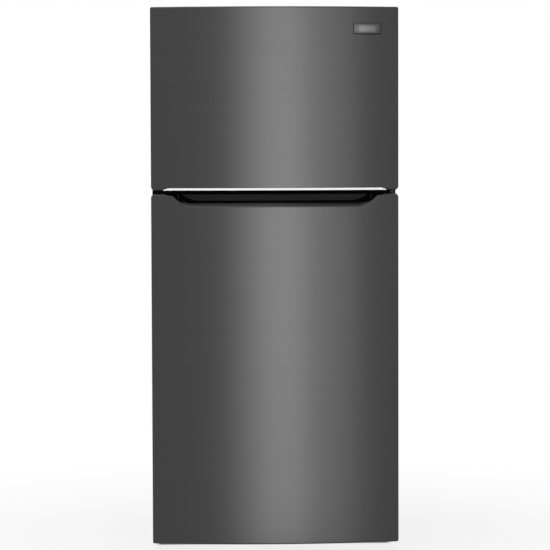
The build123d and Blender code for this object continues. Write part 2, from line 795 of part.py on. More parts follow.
# White finger channel behind the notch in the freezer door's lower edge
with BuildPart() as freezer_grip:
    grip_floor = freezer_door_bottom + fit
    outer = [
        (skin_inset, grip_floor),
        (grip_depth, grip_floor),
        (grip_depth, grip_roof),
        (skin_inset, grip_roof),
    ]
    slot = [
        (skin_inset + moulding, grip_floor - 1),
        (grip_depth - moulding, grip_floor - 1),
        (grip_depth - moulding, grip_roof - moulding),
        (skin_inset + moulding, grip_roof - moulding),
    ]
    add(bowed_ring(outer, -grip_half, grip_half))
    add(bowed_ring(slot, -grip_half + moulding, grip_half - moulding), mode=Mode.SUBTRACT)
freezer_grip.part.label = "freezer_grip"
export_step(freezer_grip.part, "parts/freezer_grip.step")

with BuildPart() as freezer_door_insulation:
    add(door_core(*freezer_form, skin_inset, core_back_y))
    add(slab(cap_low + fit, cap_high - fit), mode=Mode.INTERSECT)
    grip_room = bowed_ring(
        [
            (-1, freezer_door_bottom),
            (grip_depth + fit, freezer_door_bottom),
            (grip_depth + fit, grip_roof + fit),
            (-1, grip_roof + fit),
        ],
        -grip_half - fit,
        grip_half + fit,
    )
    add(grip_room, mode=Mode.SUBTRACT)
freezer_door_insulation.part.label = "freezer_door_insulation"
export_step(freezer_door_insulation.part, "parts/freezer_door_insulation.step")

# Door bins stand on lugs inside the dyke
dyke_inner = half_cavity - dyke_gap - dyke_width
bin_half = dyke_inner - 1
freezer_bin_low = freezer_floor + freezer_bin_rise
freezer_bin_levels = (freezer_bin_low, freezer_bin_low + freezer_bin_pitch)
bin_y = door_back_y + fit
bin_front = bin_y + door_bin_depth
with BuildPart() as freezer_door_liner:
    liner_low = freezer_door_bottom + skin_inset
    liner_high = freezer_cap_top - skin_inset
    add(door_liner(liner_low, liner_high, freezer_floor + dyke_gap, freezer_roof - dyke_gap))
    for z in freezer_bin_levels:
        for side in (-1, 1):
            with Locations((side * (dyke_inner - bin_lug / 2 + 1), door_back_y, z - fit)):
                Box(bin_lug + 2, gasket_gap + dyke_reach - 8, 5, align=(Align.CENTER, Align.MIN, Align.MAX))
freezer_door_liner.part.label = "freezer_door_liner"
export_step(freezer_door_liner.part, "parts/freezer_door_liner.step")

with BuildPart() as freezer_door_bins:
    for z in freezer_bin_levels:
        add(tray(-bin_half, bin_half, bin_y, bin_front, z, z + bin_height, moulding, bin_corner))
freezer_door_bins.part.label = "freezer_door_bins"
export_step(freezer_door_bins.part, "parts/freezer_door_bins.step")

with BuildPart() as freezer_door_gasket:
    add(gasket(freezer_door_bottom + gasket_gap_inset, freezer_cap_top - gasket_end_inset))
freezer_door_gasket.part.label = "freezer_door_gasket"
export_step(freezer_door_gasket.part, "parts/freezer_door_gasket.step")

# Blank badge plate, bent to the bow of the door
with BuildPart() as name_plate:
    plate_mid = freezer_door_top - badge_below_top
    plate_low = plate_mid - badge_height / 2
    plate_high = plate_mid + badge_height / 2
    plate = [(-fit / 3, plate_low), (-2.2, plate_low), (-2.2, plate_high), (-fit / 3, plate_high)]
    add(bowed_ring(plate, badge_centre_x - badge_width / 2, badge_centre_x + badge_width / 2))
    fillet(name_plate.edges().filter_by(Axis.Y, tolerance=20), 3)
name_plate.part.label = "name_plate"
export_step(name_plate.part, "parts/name_plate.step")

# Food door, from the front inwards
food_form = (food_door_bottom, food_door_top, gap_corner, food_bottom_corner)
handle_floor = food_door_top - handle_depth
lip_back = bevel_depth + 1.5
crest = handle_floor + bevel_rise
handle_reach = handle_top_half + 14
with BuildPart() as handle_bevel:
    bevel = [
        (0, handle_floor - 3),
        (0, handle_floor),
        (bevel_depth, crest),
        (lip_back, crest),
        (lip_back, crest - 3),
        (steel, handle_floor - 3),
    ]
    add(bowed_ring(bevel, -handle_reach, handle_reach))
    extrude(handle_outline(front_y - 1, 20, 0), amount=-total_depth / 4, mode=Mode.INTERSECT)
with BuildPart() as food_door_skin:
    add(door_core(*food_form, 0, door_back_y))
    offset(amount=-steel, openings=food_door_skin.faces().sort_by(Axis.Y)[-1])
    for z in (food_door_bottom - 1, food_door_top - 2 * steel):
        window = bowed_plan(z, skin_lip, half_door - skin_lip, door_back_y + 2)
        extrude(window, amount=2 * steel + 1, mode=Mode.SUBTRACT)
    extrude(handle_outline(front_y - 1, 0, 0), amount=-door_bow - skin_lip - 6, mode=Mode.SUBTRACT)
    add(handle_bevel.part)
food_door_skin.part.label = "food_door_skin"
export_step(food_door_skin.part, "parts/food_door_skin.step")

# Black finger pocket: a trough behind the steel bevel, with a wall leaning back to the door's top
pocket_front = lip_back + fit
pocket_top = food_door_top - skin_inset
trough_floor = handle_floor - trough_drop
trough_back = trough_reach - 3
with BuildPart() as pocket_outer:
    outer = [
        (pocket_front, trough_floor - moulding),
        (trough_back + moulding, trough_floor - moulding),
        (trough_reach + moulding, pocket_top),
        (skin_rounding + fit, pocket_top),
        (skin_inset, pocket_top - skin_rounding),
        (skin_inset, crest + fit),
        (pocket_front, crest + fit),
    ]
    add(bowed_ring(outer, -handle_reach, handle_reach))
    pocket_outline = handle_outline(front_y - 1, trough_drop + moulding + 4, moulding)
    extrude(pocket_outline, amount=-total_depth / 4, mode=Mode.INTERSECT)
with BuildPart() as pocket_room:
    room = [
        (pocket_front + moulding, trough_floor),
        (trough_back, trough_floor),
        (trough_reach, food_door_top + 1),
        (-1, food_door_top + 1),
        (-1, crest),
        (pocket_front + moulding, crest),
    ]
    add(bowed_ring(room, -handle_reach - 2, handle_reach + 2))
    room_outline = handle_outline(front_y - 1, trough_drop + 4, 0)
    extrude(room_outline, amount=-total_depth / 4, mode=Mode.INTERSECT)
with BuildPart() as handle_pocket:
    add(pocket_outer.part)
    add(pocket_room.part, mode=Mode.SUBTRACT)
handle_pocket.part.label = "handle_pocket"
export_step(handle_pocket.part, "parts/handle_pocket.step")

food_cap_low = food_door_bottom + cap_thickness
food_cap_high = food_door_top - cap_thickness
pocket_room_depth = trough_reach + moulding + fit
with BuildPart() as food_top_cap:
    add(door_core(*food_form, skin_inset, core_back_y))
    add(slab(food_cap_high, food_door_top), mode=Mode.INTERSECT)
    pocket_cut = bowed_ring(
        [
            (-1, food_cap_high - 1),
            (pocket_room_depth, food_cap_high - 1),
            (pocket_room_depth, food_door_top),
            (-1, food_door_top),
        ],
        -handle_reach - fit,
        handle_reach + fit,
    )
    add(pocket_cut, mode=Mode.SUBTRACT)
    with Locations((hinge_x, hinge_y, food_door_top)):
        Cylinder(bore_radius, pin_reach + 2, align=hang_from, mode=Mode.SUBTRACT)
with BuildPart() as food_bottom_cap:
    add(door_core(*food_form, skin_inset, core_back_y))
    add(slab(food_door_bottom, food_cap_low), mode=Mode.INTERSECT)
    with Locations((hinge_x, hinge_y, food_door_bottom)):
        Cylinder(bore_radius, pin_reach + 2, align=base_on, mode=Mode.SUBTRACT)
with BuildPart() as food_door_caps:
    add(food_top_cap.part)
    add(food_bottom_cap.part)
food_door_caps.part.label = "food_door_caps"
export_step(food_door_caps.part, "parts/food_door_caps.step")

with BuildPart() as food_door_insulation:
    add(door_core(*food_form, skin_inset, core_back_y))
    add(slab(food_cap_low + fit, food_cap_high - fit), mode=Mode.INTERSECT)
    pocket_cut = bowed_ring(
        [
            (-1, trough_floor - moulding - fit),
            (pocket_room_depth, trough_floor - moulding - fit),
            (pocket_room_depth, food_door_top),
            (-1, food_door_top),
        ],
        -handle_reach - fit,
        handle_reach + fit,
    )
    add(pocket_cut, mode=Mode.SUBTRACT)
food_door_insulation.part.label = "food_door_insulation"
export_step(food_door_insulation.part, "parts/food_door_insulation.step")

food_bin_low = food_floor + food_bin_rise
food_bin_levels = (food_bin_low, food_bin_low + food_bin_pitch, lower_shelf_top + high_bin_rise)
dairy_low = lower_shelf_top + dairy_rise
dairy_top = dairy_low + dairy_height
with BuildPart() as food_door_liner:
    liner_low = food_door_bottom + skin_inset
    liner_high = food_door_top - skin_inset
    add(door_liner(liner_low, liner_high, food_floor + dyke_gap, food_roof - dyke_gap))
    for z in (*food_bin_levels, dairy_low):
        for side in (-1, 1):
            with Locations((side * (dyke_inner - bin_lug / 2 + 1), door_back_y, z - fit)):
                Box(bin_lug + 2, gasket_gap + dyke_reach - 8, 5, align=(Align.CENTER, Align.MIN, Align.MAX))
food_door_liner.part.label = "food_door_liner"
export_step(food_door_liner.part, "parts/food_door_liner.step")

with BuildPart() as food_door_gasket:
    add(gasket(food_door_bottom + gasket_end_inset + 4, food_door_top - gasket_gap_inset))
food_door_gasket.part.label = "food_door_gasket"
export_step(food_door_gasket.part, "parts/food_door_gasket.step")

# Dairy bin with a lid that swings up on two pins
lid_axis_y = door_back_y + 12
lid_axis_z = dairy_top + 6
with BuildPart() as dairy_bin:
    add(tray(-bin_half, bin_half, bin_y, bin_front, dairy_low, dairy_top, moulding, bin_corner / 2))
    for side in (-1, 1):
        with Locations((side * (bin_half - ear_wall / 2), bin_y + 2, dairy_top - 24)):
            Box(ear_wall, 2 * (lid_axis_y - bin_y) - 4, lid_axis_z + 6 - dairy_top + 24, align=front_base)
    with Locations((0, lid_axis_y, lid_axis_z)):
        Cylinder(lid_pin + running_play, 3 * bin_half, rotation=(0, 90, 0), mode=Mode.SUBTRACT)
with BuildPart() as food_door_bins:
    for z in food_bin_levels:
        bin_top = z + food_bin_height
        add(tray(-bin_half, bin_half, bin_y, bin_front, z, bin_top, moulding, bin_corner))
    add(dairy_bin.part)
food_door_bins.part.label = "food_door_bins"
export_step(food_door_bins.part, "parts/food_door_bins.step")

with BuildPart() as dairy_lid:
    lid_half = bin_half - ear_wall - 1
    with BuildSketch(level(lid_axis_z)):
        with Locations((0, lid_axis_y)):
            Rectangle(2 * lid_half, bin_front - lid_axis_y - 1, align=(Align.CENTER, Align.MIN))
    extrude(amount=lid_pin)
    with Locations((0, lid_axis_y, lid_axis_z)):
        Cylinder(lid_pin, 2 * bin_half - 1, rotation=(0, 90, 0))
    with Locations((0, bin_front - 1, lid_axis_z)):
        Box(lid_lip_width, 4, 8, align=(Align.CENTER, Align.MAX, Align.MIN))
dairy_lid.part.label = "dairy_lid"
export_step(dairy_lid.part, "parts/dairy_lid.step")

# Freezer fittings
with BuildPart() as freezer_shelf:
    shelf_back = cover_y - 8
    shelf_mid = (shelf_front_y + shelf_back) / 2
    for y in (shelf_front_y + wire_radius, shelf_mid, shelf_back - wire_radius):
        with Locations((0, y, freezer_shelf_z)):
            Cylinder(wire_radius, 2 * (half_cavity - 3), rotation=(0, 90, 0))
    with Locations((0, shelf_mid, freezer_shelf_z + wire_radius)):
        with GridLocations(wire_pitch, 0, int(2 * half_cavity / wire_pitch), 1):
            Box(wire_width, shelf_back - shelf_front_y - wire_radius, wire_width)
freezer_shelf.part.label = "freezer_shelf"
export_step(freezer_shelf.part, "parts/freezer_shelf.step")

evaporator_fan_z = freezer_roof - 100
with BuildPart() as evaporator_cover:
    cover_half = half_cavity - fit
    cover_low = freezer_floor + fit
    cover_high = freezer_roof - fit
    extrude(upright_block(cover_y, cover_half, cover_low, cover_high, liner_radius), amount=-cover_depth)
    cover_room = upright_block(
        cover_y + moulding,
        cover_half - moulding,
        cover_low + moulding,
        cover_high - moulding,
        liner_radius - moulding,
    )
    extrude(cover_room, amount=-cover_depth, mode=Mode.SUBTRACT)
    with BuildSketch(facing(cover_y)):
        with Locations((0, evaporator_fan_z)):
            with GridLocations(0, 18, 1, 5):
                SlotOverall(150, 8)
        with Locations((0, freezer_floor + 24)):
            with GridLocations(64, 0, 8, 1):
                SlotOverall(50, 8)
    extrude(amount=-2 * moulding, mode=Mode.SUBTRACT)
evaporator_cover.part.label = "evaporator_cover"
export_step(evaporator_cover.part, "parts/evaporator_cover.step")

coil_y = cavity_rear_y - 31
coil_low = freezer_floor + 32
coil_half = half_cavity - coil_side_room
end_plate_x = coil_half - fin_pitch
heater_half = end_plate_x + 24
heater_z = freezer_floor + 12
with BuildPart() as evaporator:
    with BuildLine() as coil_path:
        turns = []
        for row in range(4):
            first = -coil_half if row % 2 == 0 else coil_half
            turns.append((first, coil_y, coil_low + row * coil_pitch))
            turns.append((-first, coil_y, coil_low + row * coil_pitch))
        FilletPolyline(*turns, radius=18)
    with BuildSketch(Plane(coil_path.line @ 0, z_dir=coil_path.line % 0)):
        Circle(coil_tube)
    sweep()
    with Locations((0, coil_y, coil_low + 1.5 * coil_pitch)):
        with GridLocations(fin_pitch, 0, int(2 * end_plate_x / fin_pitch), 1):
            Box(1, 38, 3 * coil_pitch + 30)
    for x in (-end_plate_x, end_plate_x):
        with Locations((x, cavity_rear_y - liner_radius - 1, freezer_floor + 2 * moulding)):
            Box(2, 34, 3 * coil_pitch + 42, align=(Align.CENTER, Align.MAX, Align.MIN))
        with Locations((x, cavity_rear_y - fit, coil_low)):
            Box(2, 30, 3 * coil_pitch, align=(Align.CENTER, Align.MAX, Align.MIN))
        with Locations((x, coil_y, heater_z)):
            Cylinder(heater_radius + fit, 10, rotation=(0, 90, 0), mode=Mode.SUBTRACT)
evaporator.part.label = "evaporator"
export_step(evaporator.part, "parts/evaporator.step")

with BuildPart() as defrost_heater:
    with Locations((0, coil_y, heater_z)):
        Cylinder(heater_radius, 2 * heater_half, rotation=(0, 90, 0))
    with Locations((-heater_half, coil_y, heater_z), (heater_half, coil_y, heater_z)):
        Cylinder(heater_radius + moulding, 22, rotation=(0, 90, 0))
defrost_heater.part.label = "defrost_heater"
export_step(defrost_heater.part, "parts/defrost_heater.step")

evaporator_fan_y = cavity_rear_y - 38
with BuildPart() as evaporator_fan_motor:
    with Locations((0, cavity_rear_y - fit, evaporator_fan_z)):
        Cylinder(24, 20, rotation=(90, 0, 0), align=base_on)
        Cylinder(shaft_radius, 44, rotation=(90, 0, 0), align=base_on)
evaporator_fan_motor.part.label = "evaporator_fan_motor"
export_step(evaporator_fan_motor.part, "parts/evaporator_fan_motor.step")

with BuildPart() as evaporator_fan:
    with Locations(Location((0, evaporator_fan_y, evaporator_fan_z), (90, 0, 0))):
        add(fan_wheel(fan_radius, 13, fan_width, shaft_radius, 4))
evaporator_fan.part.label = "evaporator_fan"
export_step(evaporator_fan.part, "parts/evaporator_fan.step")

# Control housing under the food compartment's roof, with light, dial and door switch
housing_front_y = flange_y + 110
housing_low = food_roof - housing_height
housing_half = half_cavity - housing_side_room
switch_x = housing_half - 22
switch_z = food_roof - dyke_gap - dyke_width / 2
dyke_back_y = flange_y + dyke_reach
tongue_front_y = dyke_back_y + 16
dial_x = -dial_left
dial_z = (housing_low + food_roof) / 2
with BuildPart() as control_housing:
    with Locations((0, housing_front_y, food_roof - fit)):
        top_front = (Align.CENTER, Align.MIN, Align.MAX)
        Box(2 * housing_half, housing_depth, food_roof - fit - housing_low, align=top_front)
    fillet(control_housing.edges().filter_by(Axis.X).sort_by(Axis.Z)[:2], 8)
    with Locations((switch_x, tongue_front_y, food_roof - fit)):
        Box(34, housing_front_y - tongue_front_y, 38, align=top_front)
    with Locations((switch_x, tongue_front_y - 1, switch_z)):
        hole = switch_size + 2 * slide_play
        Box(hole, 60, hole, align=front_on, mode=Mode.SUBTRACT)
    with Locations((dial_x, housing_front_y, dial_z)):
        Cylinder(4 + running_play, 20, rotation=(-90, 0, 0), align=base_on, mode=Mode.SUBTRACT)
control_housing.part.label = "control_housing"
export_step(control_housing.part, "parts/control_housing.step")

with BuildPart() as temperature_dial:
    with Locations((dial_x, housing_front_y - slide_play, dial_z)):
        Cylinder(dial_radius, 12, rotation=(90, 0, 0), align=base_on)
    fillet(temperature_dial.faces().sort_by(Axis.Y)[0].edges(), 2)
    with Locations((dial_x, housing_front_y - slide_play - 12, dial_z)):
        Box(5, 5, 2 * dial_radius - 6, align=(Align.CENTER, Align.MAX, Align.CENTER))
    with Locations((dial_x, housing_front_y - slide_play, dial_z)):
        Cylinder(4, 16, rotation=(-90, 0, 0), align=base_on)
temperature_dial.part.label = "temperature_dial"
export_step(temperature_dial.part, "parts/temperature_dial.step")

with BuildPart() as food_light_switch:
    with Locations((switch_x, dyke_back_y + slide_play, switch_z)):
        Box(switch_size, switch_length, switch_size, align=front_on)
    fillet(food_light_switch.faces().sort_by(Axis.Y)[0].edges(), 2)
food_light_switch.part.label = "food_light_switch"
export_step(food_light_switch.part, "parts/food_light_switch.step")

with BuildPart() as food_light_lens:
    with Locations((0, housing_front_y + housing_depth / 2, housing_low - fit)):
        Box(lens_width, lens_depth, lens_thickness, align=hang_from)
    fillet(food_light_lens.faces().sort_by(Axis.Z)[0].edges(), lens_thickness / 2)
food_light_lens.part.label = "food_light_lens"
export_step(food_light_lens.part, "parts/food_light_lens.step")

# Glass shelves, the lower one with two rails clipped under it for the deli drawer
with BuildPart() as upper_shelf_frame:
    add(shelf_frame(upper_shelf_top))
upper_shelf_frame.part.label = "upper_shelf_frame"
export_step(upper_shelf_frame.part, "parts/upper_shelf_frame.step")

lower_frame_low = lower_shelf_top - shelf_height
deli_half = half_cavity - deli_side_room
rail_inner = deli_half + 3
rail_outer = deli_half + deli_rim + 4
with BuildPart() as lower_shelf_frame:
    add(shelf_frame(lower_shelf_top))
    for side in (-1, 1):
        with Locations((side * (rail_outer + 2), shelf_front_y + 6, lower_frame_low - rail_drop)):
            Box(4, deli_depth, rail_drop - fit, align=front_base)
        rail_middle = side * (rail_inner + rail_outer) / 2
        with Locations((rail_middle, shelf_front_y + 6, lower_frame_low - rail_drop)):
            Box(rail_outer - rail_inner + 1, deli_depth, 3, align=front_base)
lower_shelf_frame.part.label = "lower_shelf_frame"
export_step(lower_shelf_frame.part, "parts/lower_shelf_frame.step")

with BuildPart() as crisper_cover_frame:
    add(shelf_frame(crisper_cover_top))
    with Locations((0, shelf_front_y, crisper_cover_top - 9)):
        with GridLocations(half_cavity, 0, 2, 1):
            Box(90, 16, 5, mode=Mode.SUBTRACT)
crisper_cover_frame.part.label = "crisper_cover_frame"
export_step(crisper_cover_frame.part, "parts/crisper_cover_frame.step")

with BuildPart() as shelf_glass:
    for shelf_top in (upper_shelf_top, lower_shelf_top, crisper_cover_top):
        add(glass_pane(shelf_top))
shelf_glass.part.label = "shelf_glass"
export_step(shelf_glass.part, "parts/shelf_glass.step")

with BuildPart() as deli_drawer:
    deli_rim_low = lower_frame_low - rail_drop + 3 + slide_play
    deli_top = deli_rim_low + 4
    deli_low = deli_top - deli_height
    deli_front_y = shelf_front_y + 4
    deli_rear_y = deli_front_y + deli_depth
    add(tray(-deli_half, deli_half, deli_front_y, deli_rear_y, deli_low, deli_top, drawer_wall, 10))
    for side in (-1, 1):
        with Locations((side * (deli_half + deli_rim / 2 - 1), deli_front_y + 10, deli_rim_low)):
            Box(deli_rim, deli_depth - 20, 4, align=front_base)
    with Locations((0, deli_front_y + 1, deli_top)):
        Box(deli_pull_width, 10, pull_height, align=(Align.CENTER, Align.MAX, Align.MAX))
deli_drawer.part.label = "deli_drawer"
export_step(deli_drawer.part, "parts/deli_drawer.step")

# Two crisper drawers on the floor, under their glass cover
crisper_low = food_floor + slide_play
crisper_high = crisper_cover_top - shelf_height - 6
crisper_outer = half_cavity - liner_radius - 1
crisper_inner = crisper_gap / 2
crisper_x = (crisper_outer + crisper_inner) / 2
crisper_front_y = flange_y + crisper_setback
crisper_rear_y = step_front_y - liner_radius - 6


def crisper(left_x, right_x):
    # One drawer box, from its front to the step over the machine compartment
    low = crisper_low
    return tray(left_x, right_x, crisper_front_y, crisper_rear_y, low, crisper_high, drawer_wall, 10)


with BuildPart() as crisper_left:
    add(crisper(-crisper_outer, -crisper_inner))
    with Locations((-crisper_x, crisper_front_y + 1, crisper_high)):
        Box(pull_width, pull_reach, pull_height, align=(Align.CENTER, Align.MAX, Align.MAX))
crisper_left.part.label = "crisper_left"
export_step(crisper_left.part, "parts/crisper_left.step")

with BuildPart() as crisper_right:
    add(crisper(crisper_inner, crisper_outer))
    with Locations((crisper_x, crisper_front_y + 1, crisper_high)):
        Box(pull_width, pull_reach, pull_height, align=(Align.CENTER, Align.MAX, Align.MAX))
crisper_right.part.label = "crisper_right"
export_step(crisper_right.part, "parts/crisper_right.step")

# Humidity sliders, each with a tongue in the cover's front slot
slider_z = crisper_cover_top - 9
with BuildPart() as humidity_slider_left:
    with Locations((-half_cavity / 2, shelf_front_y - slide_play, slider_z)):
        Box(34, 7, 12, align=(Align.CENTER, Align.MAX, Align.CENTER))
        Box(26, 12, 4, align=(Align.CENTER, Align.CENTER, Align.CENTER))
humidity_slider_left.part.label = "humidity_slider_left"
export_step(humidity_slider_left.part, "parts/humidity_slider_left.step")

with BuildPart() as humidity_slider_right:
    with Locations((half_cavity / 2, shelf_front_y - slide_play, slider_z)):
        Box(34, 7, 12, align=(Align.CENTER, Align.MAX, Align.CENTER))
        Box(26, 12, 4, align=(Align.CENTER, Align.CENTER, Align.CENTER))
humidity_slider_right.part.label = "humidity_slider_right"
export_step(humidity_slider_right.part, "parts/humidity_slider_right.step")

# Machine compartment
tray_z = rail_bottom + sheet
machine_y = (deck_slope_rear_y + panel_y) / 2
compressor_x = half_inside - compressor_inset
foot_z = tray_z + 15
with BuildPart() as compressor:
    with Locations((compressor_x, machine_y, foot_z)):
        Box(200, 110, 3, align=base_on)
        Cylinder(compressor_radius, compressor_height, align=base_on)
    fillet(compressor.faces().sort_by(Axis.Z)[-1].edges(), compressor_radius * 0.55)
    with Locations((compressor_x, machine_y, tray_z + fit)):
        with GridLocations(176, 84, 2, 2):
            Cylinder(9, foot_z - tray_z, align=base_on)
    with Locations((compressor_x + compressor_radius - 4, machine_y, foot_z + 70)):
        Box(36, 46, 56)
compressor.part.label = "compressor"
export_step(compressor.part, "parts/compressor.step")

pan_left = -rail_x + rail_width / 2 + 6
pan_right = -44.0
with BuildPart() as drain_pan:
    add(tray(pan_left, pan_right, machine_y - 78, machine_y + 78, tray_z + fit, tray_z + 24, moulding, 10))
drain_pan.part.label = "drain_pan"
export_step(drain_pan.part, "parts/drain_pan.step")

pass_count = 7
pass_low = tray_z + 36
pass_left = pan_left + 14
pass_right = pan_right - 14
riser_x = pan_right + 19

# Condenser fan in its plate
fan_x = 16.0
fan_z = tray_z + 104
with BuildPart() as condenser_fan_motor:
    with Locations((fan_x - 16, machine_y, tray_z + fit)):
        Box(3, 160, fan_plate_height, align=base_on)
    with Locations((fan_x - 16, machine_y, fan_z)):
        Cylinder(condenser_fan_radius + 5, 12, rotation=(0, 90, 0), mode=Mode.SUBTRACT)
    with Locations((fan_x + 34, machine_y, fan_z)):
        Cylinder(28, 34, rotation=(0, 90, 0))
    with Locations((fan_x + 34, machine_y, fan_z)):
        Box(8, 160, 12)
    for side in (-1, 1):
        with Locations((fan_x - 16, machine_y + side * 75, fan_z)):
            Box(54, 8, 12, align=(Align.MIN, Align.CENTER, Align.CENTER))
    with Locations((fan_x - 8, machine_y, fan_z)):
        Cylinder(shaft_radius, 60, rotation=(0, 90, 0), align=base_on)
condenser_fan_motor.part.label = "condenser_fan_motor"
export_step(condenser_fan_motor.part, "parts/condenser_fan_motor.step")

with BuildPart() as condenser_fan:
    with Locations(Location((fan_x - 6, machine_y, fan_z), (0, 90, 0))):
        add(fan_wheel(condenser_fan_radius, 17, 20, shaft_radius, 5))
condenser_fan.part.label = "condenser_fan"
export_step(condenser_fan.part, "parts/condenser_fan.step")

# Serpentine condenser, with the discharge tube that feeds it from the compressor
tube_top = tray_z + fan_plate_height + 22
with BuildPart() as condenser:
    route = [
        (compressor_x, machine_y, foot_z + compressor_height + fit),
        (compressor_x, machine_y, tube_top),
        (riser_x, machine_y, tube_top),
    ]
    for row in range(pass_count - 1, -1, -1):
        start, end = (pass_left, pass_right) if row % 2 else (pass_right, pass_left)
        if row == pass_count - 1:
            start = riser_x
        route.append((start, machine_y, pass_low + row * pass_pitch))
        route.append((end, machine_y, pass_low + row * pass_pitch))
    with BuildLine() as condenser_path:
        FilletPolyline(*route, radius=10)
    with BuildSketch(Plane(condenser_path.line @ 0, z_dir=condenser_path.line % 0)):
        Circle(tube_radius)
    sweep()
    for x in (pass_left + 30, pass_right - 30):
        with Locations((x, machine_y, tray_z + moulding + 2 * fit)):
            Box(3, 24, pass_low + (pass_count - 1) * pass_pitch - tray_z, align=base_on)
condenser.part.label = "condenser"
export_step(condenser.part, "parts/condenser.step")

# Slotted rear cover of the machine compartment, with the cord's gland
gland_x = half_inside - 60
gland_z = tray_z + 60
with BuildPart() as compressor_cover:
    cover_low = rail_bottom + 1
    extrude(upright_block(panel_y + fit, half_inside - fit, cover_low, machine_roof - fit, 6), amount=-1.5)
    with BuildSketch(facing(panel_y + fit)):
        with Locations((-30, (cover_low + machine_roof) / 2)):
            with GridLocations(92, 22, 6, 7):
                SlotOverall(76, 8)
        with Locations((gland_x, gland_z)):
            Circle(8)
    extrude(amount=-1.5, mode=Mode.SUBTRACT)
compressor_cover.part.label = "compressor_cover"
export_step(compressor_cover.part, "parts/compressor_cover.step")

with BuildPart() as cord_gland:
    with Locations((gland_x, panel_y - 3, gland_z)):
        Cylinder(8 - fit, 10, rotation=(-90, 0, 0), align=base_on)
    with Locations((gland_x, panel_y + 2 * fit + 1.5, gland_z)):
        Cylinder(11, 3, rotation=(-90, 0, 0), align=base_on)
    with Locations((gland_x, panel_y, gland_z)):
        Cylinder(4.5, 40, rotation=(90, 0, 0), mode=Mode.SUBTRACT)
cord_gland.part.label = "cord_gland"
export_step(cord_gland.part, "parts/cord_gland.step")

# Feet: levelling legs at the front, rollers at the rear
with BuildPart() as leg_left:
    with Locations((-rail_x, leg_y, 0)):
        Cylinder(foot_radius, foot_height, align=base_on)
        Cylinder(post_radius, rail_top - sheet - 2, align=base_on)
    fillet(leg_left.faces().sort_by(Axis.Z)[0].edges(), 1.5)
leg_left.part.label = "leg_left"
export_step(leg_left.part, "parts/leg_left.step")

with BuildPart() as leg_right:
    with Locations((rail_x, leg_y, 0)):
        Cylinder(foot_radius, foot_height, align=base_on)
        Cylinder(post_radius, rail_top - sheet - 2, align=base_on)
    fillet(leg_right.faces().sort_by(Axis.Z)[0].edges(), 1.5)
leg_right.part.label = "leg_right"
export_step(leg_right.part, "parts/leg_right.step")

roller_width = rail_width - 2 * sheet - 6
with BuildPart() as roller_left:
    with Locations((-rail_x, roller_y, roller_radius)):
        Cylinder(roller_radius, roller_width, rotation=(0, 90, 0))
        Cylinder(axle_radius + running_play, rail_width, rotation=(0, 90, 0), mode=Mode.SUBTRACT)
roller_left.part.label = "roller_left"
export_step(roller_left.part, "parts/roller_left.step")

with BuildPart() as roller_right:
    with Locations((rail_x, roller_y, roller_radius)):
        Cylinder(roller_radius, roller_width, rotation=(0, 90, 0))
        Cylinder(axle_radius + running_play, rail_width, rotation=(0, 90, 0), mode=Mode.SUBTRACT)
roller_right.part.label = "roller_right"
export_step(roller_right.part, "parts/roller_right.step")
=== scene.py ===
import json
import math

import bpy
import numpy as np
from mathutils import Matrix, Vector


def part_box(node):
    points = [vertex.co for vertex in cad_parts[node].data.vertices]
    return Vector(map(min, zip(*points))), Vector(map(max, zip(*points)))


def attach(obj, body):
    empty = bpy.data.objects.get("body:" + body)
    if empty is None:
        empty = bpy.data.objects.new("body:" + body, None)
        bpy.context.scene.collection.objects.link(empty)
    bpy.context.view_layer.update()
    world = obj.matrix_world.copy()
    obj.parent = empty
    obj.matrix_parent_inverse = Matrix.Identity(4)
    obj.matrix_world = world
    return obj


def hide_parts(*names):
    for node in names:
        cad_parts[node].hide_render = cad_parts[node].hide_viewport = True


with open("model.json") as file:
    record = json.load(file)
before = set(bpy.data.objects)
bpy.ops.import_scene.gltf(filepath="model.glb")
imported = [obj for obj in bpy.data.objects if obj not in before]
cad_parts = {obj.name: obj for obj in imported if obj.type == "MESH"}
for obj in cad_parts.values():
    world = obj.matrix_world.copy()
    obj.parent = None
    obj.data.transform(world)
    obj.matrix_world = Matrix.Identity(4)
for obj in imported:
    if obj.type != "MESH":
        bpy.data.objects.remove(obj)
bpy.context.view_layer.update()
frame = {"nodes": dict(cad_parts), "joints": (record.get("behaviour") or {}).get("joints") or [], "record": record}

scene = bpy.context.scene
scene.view_settings.view_transform = "Standard"


# Shader maths

class Value:
    # A socket that can stand in a Python expression
    def __init__(self, finish, socket):
        self.finish = finish
        self.socket = socket

    def math(self, operation, *others, flip=False):
        terms = [self, *others]
        if flip:
            terms.reverse()
        return self.finish.node("ShaderNodeMath", {"operation": operation}, dict(enumerate(terms)))

    def __add__(self, other):
        return self.math("ADD", other)

    def __sub__(self, other):
        return self.math("SUBTRACT", other)

    def __rsub__(self, other):
        return self.math("SUBTRACT", other, flip=True)

    def __mul__(self, other):
        return self.math("MULTIPLY", other)

    def __truediv__(self, other):
        return self.math("DIVIDE", other)

    __radd__ = __add__
    __rmul__ = __mul__

    def clip(self):
        return self.finish.node("ShaderNodeClamp", {}, {0: self})

    def mixed(self, other, share):
        # A share of this pattern, and another for the rest
        return (self * share + other * (1.0 - share)).clip()


class NodeTree:
    # Nodes of a material or of the world
    def __init__(self, owner, outputKind):
        owner.use_nodes = True
        self.tree = owner.node_tree
        self.tree.nodes.clear()
        self.out = self.tree.nodes.new(outputKind)

    def node(self, kind, settings, inputs, output=0):
        made = self.tree.nodes.new(kind)
        for key, setting in settings.items():
            setattr(made, key, setting)
        for key, given in inputs.items():
            self.feed(made.inputs[key], given)
        return Value(self, made.outputs[output])

    def feed(self, socket, given):
        if isinstance(given, Value):
            self.tree.links.new(given.socket, socket)
        else:
            socket.default_value = given

    def end(self, shader):
        self.feed(self.out.inputs["Surface"], shader)


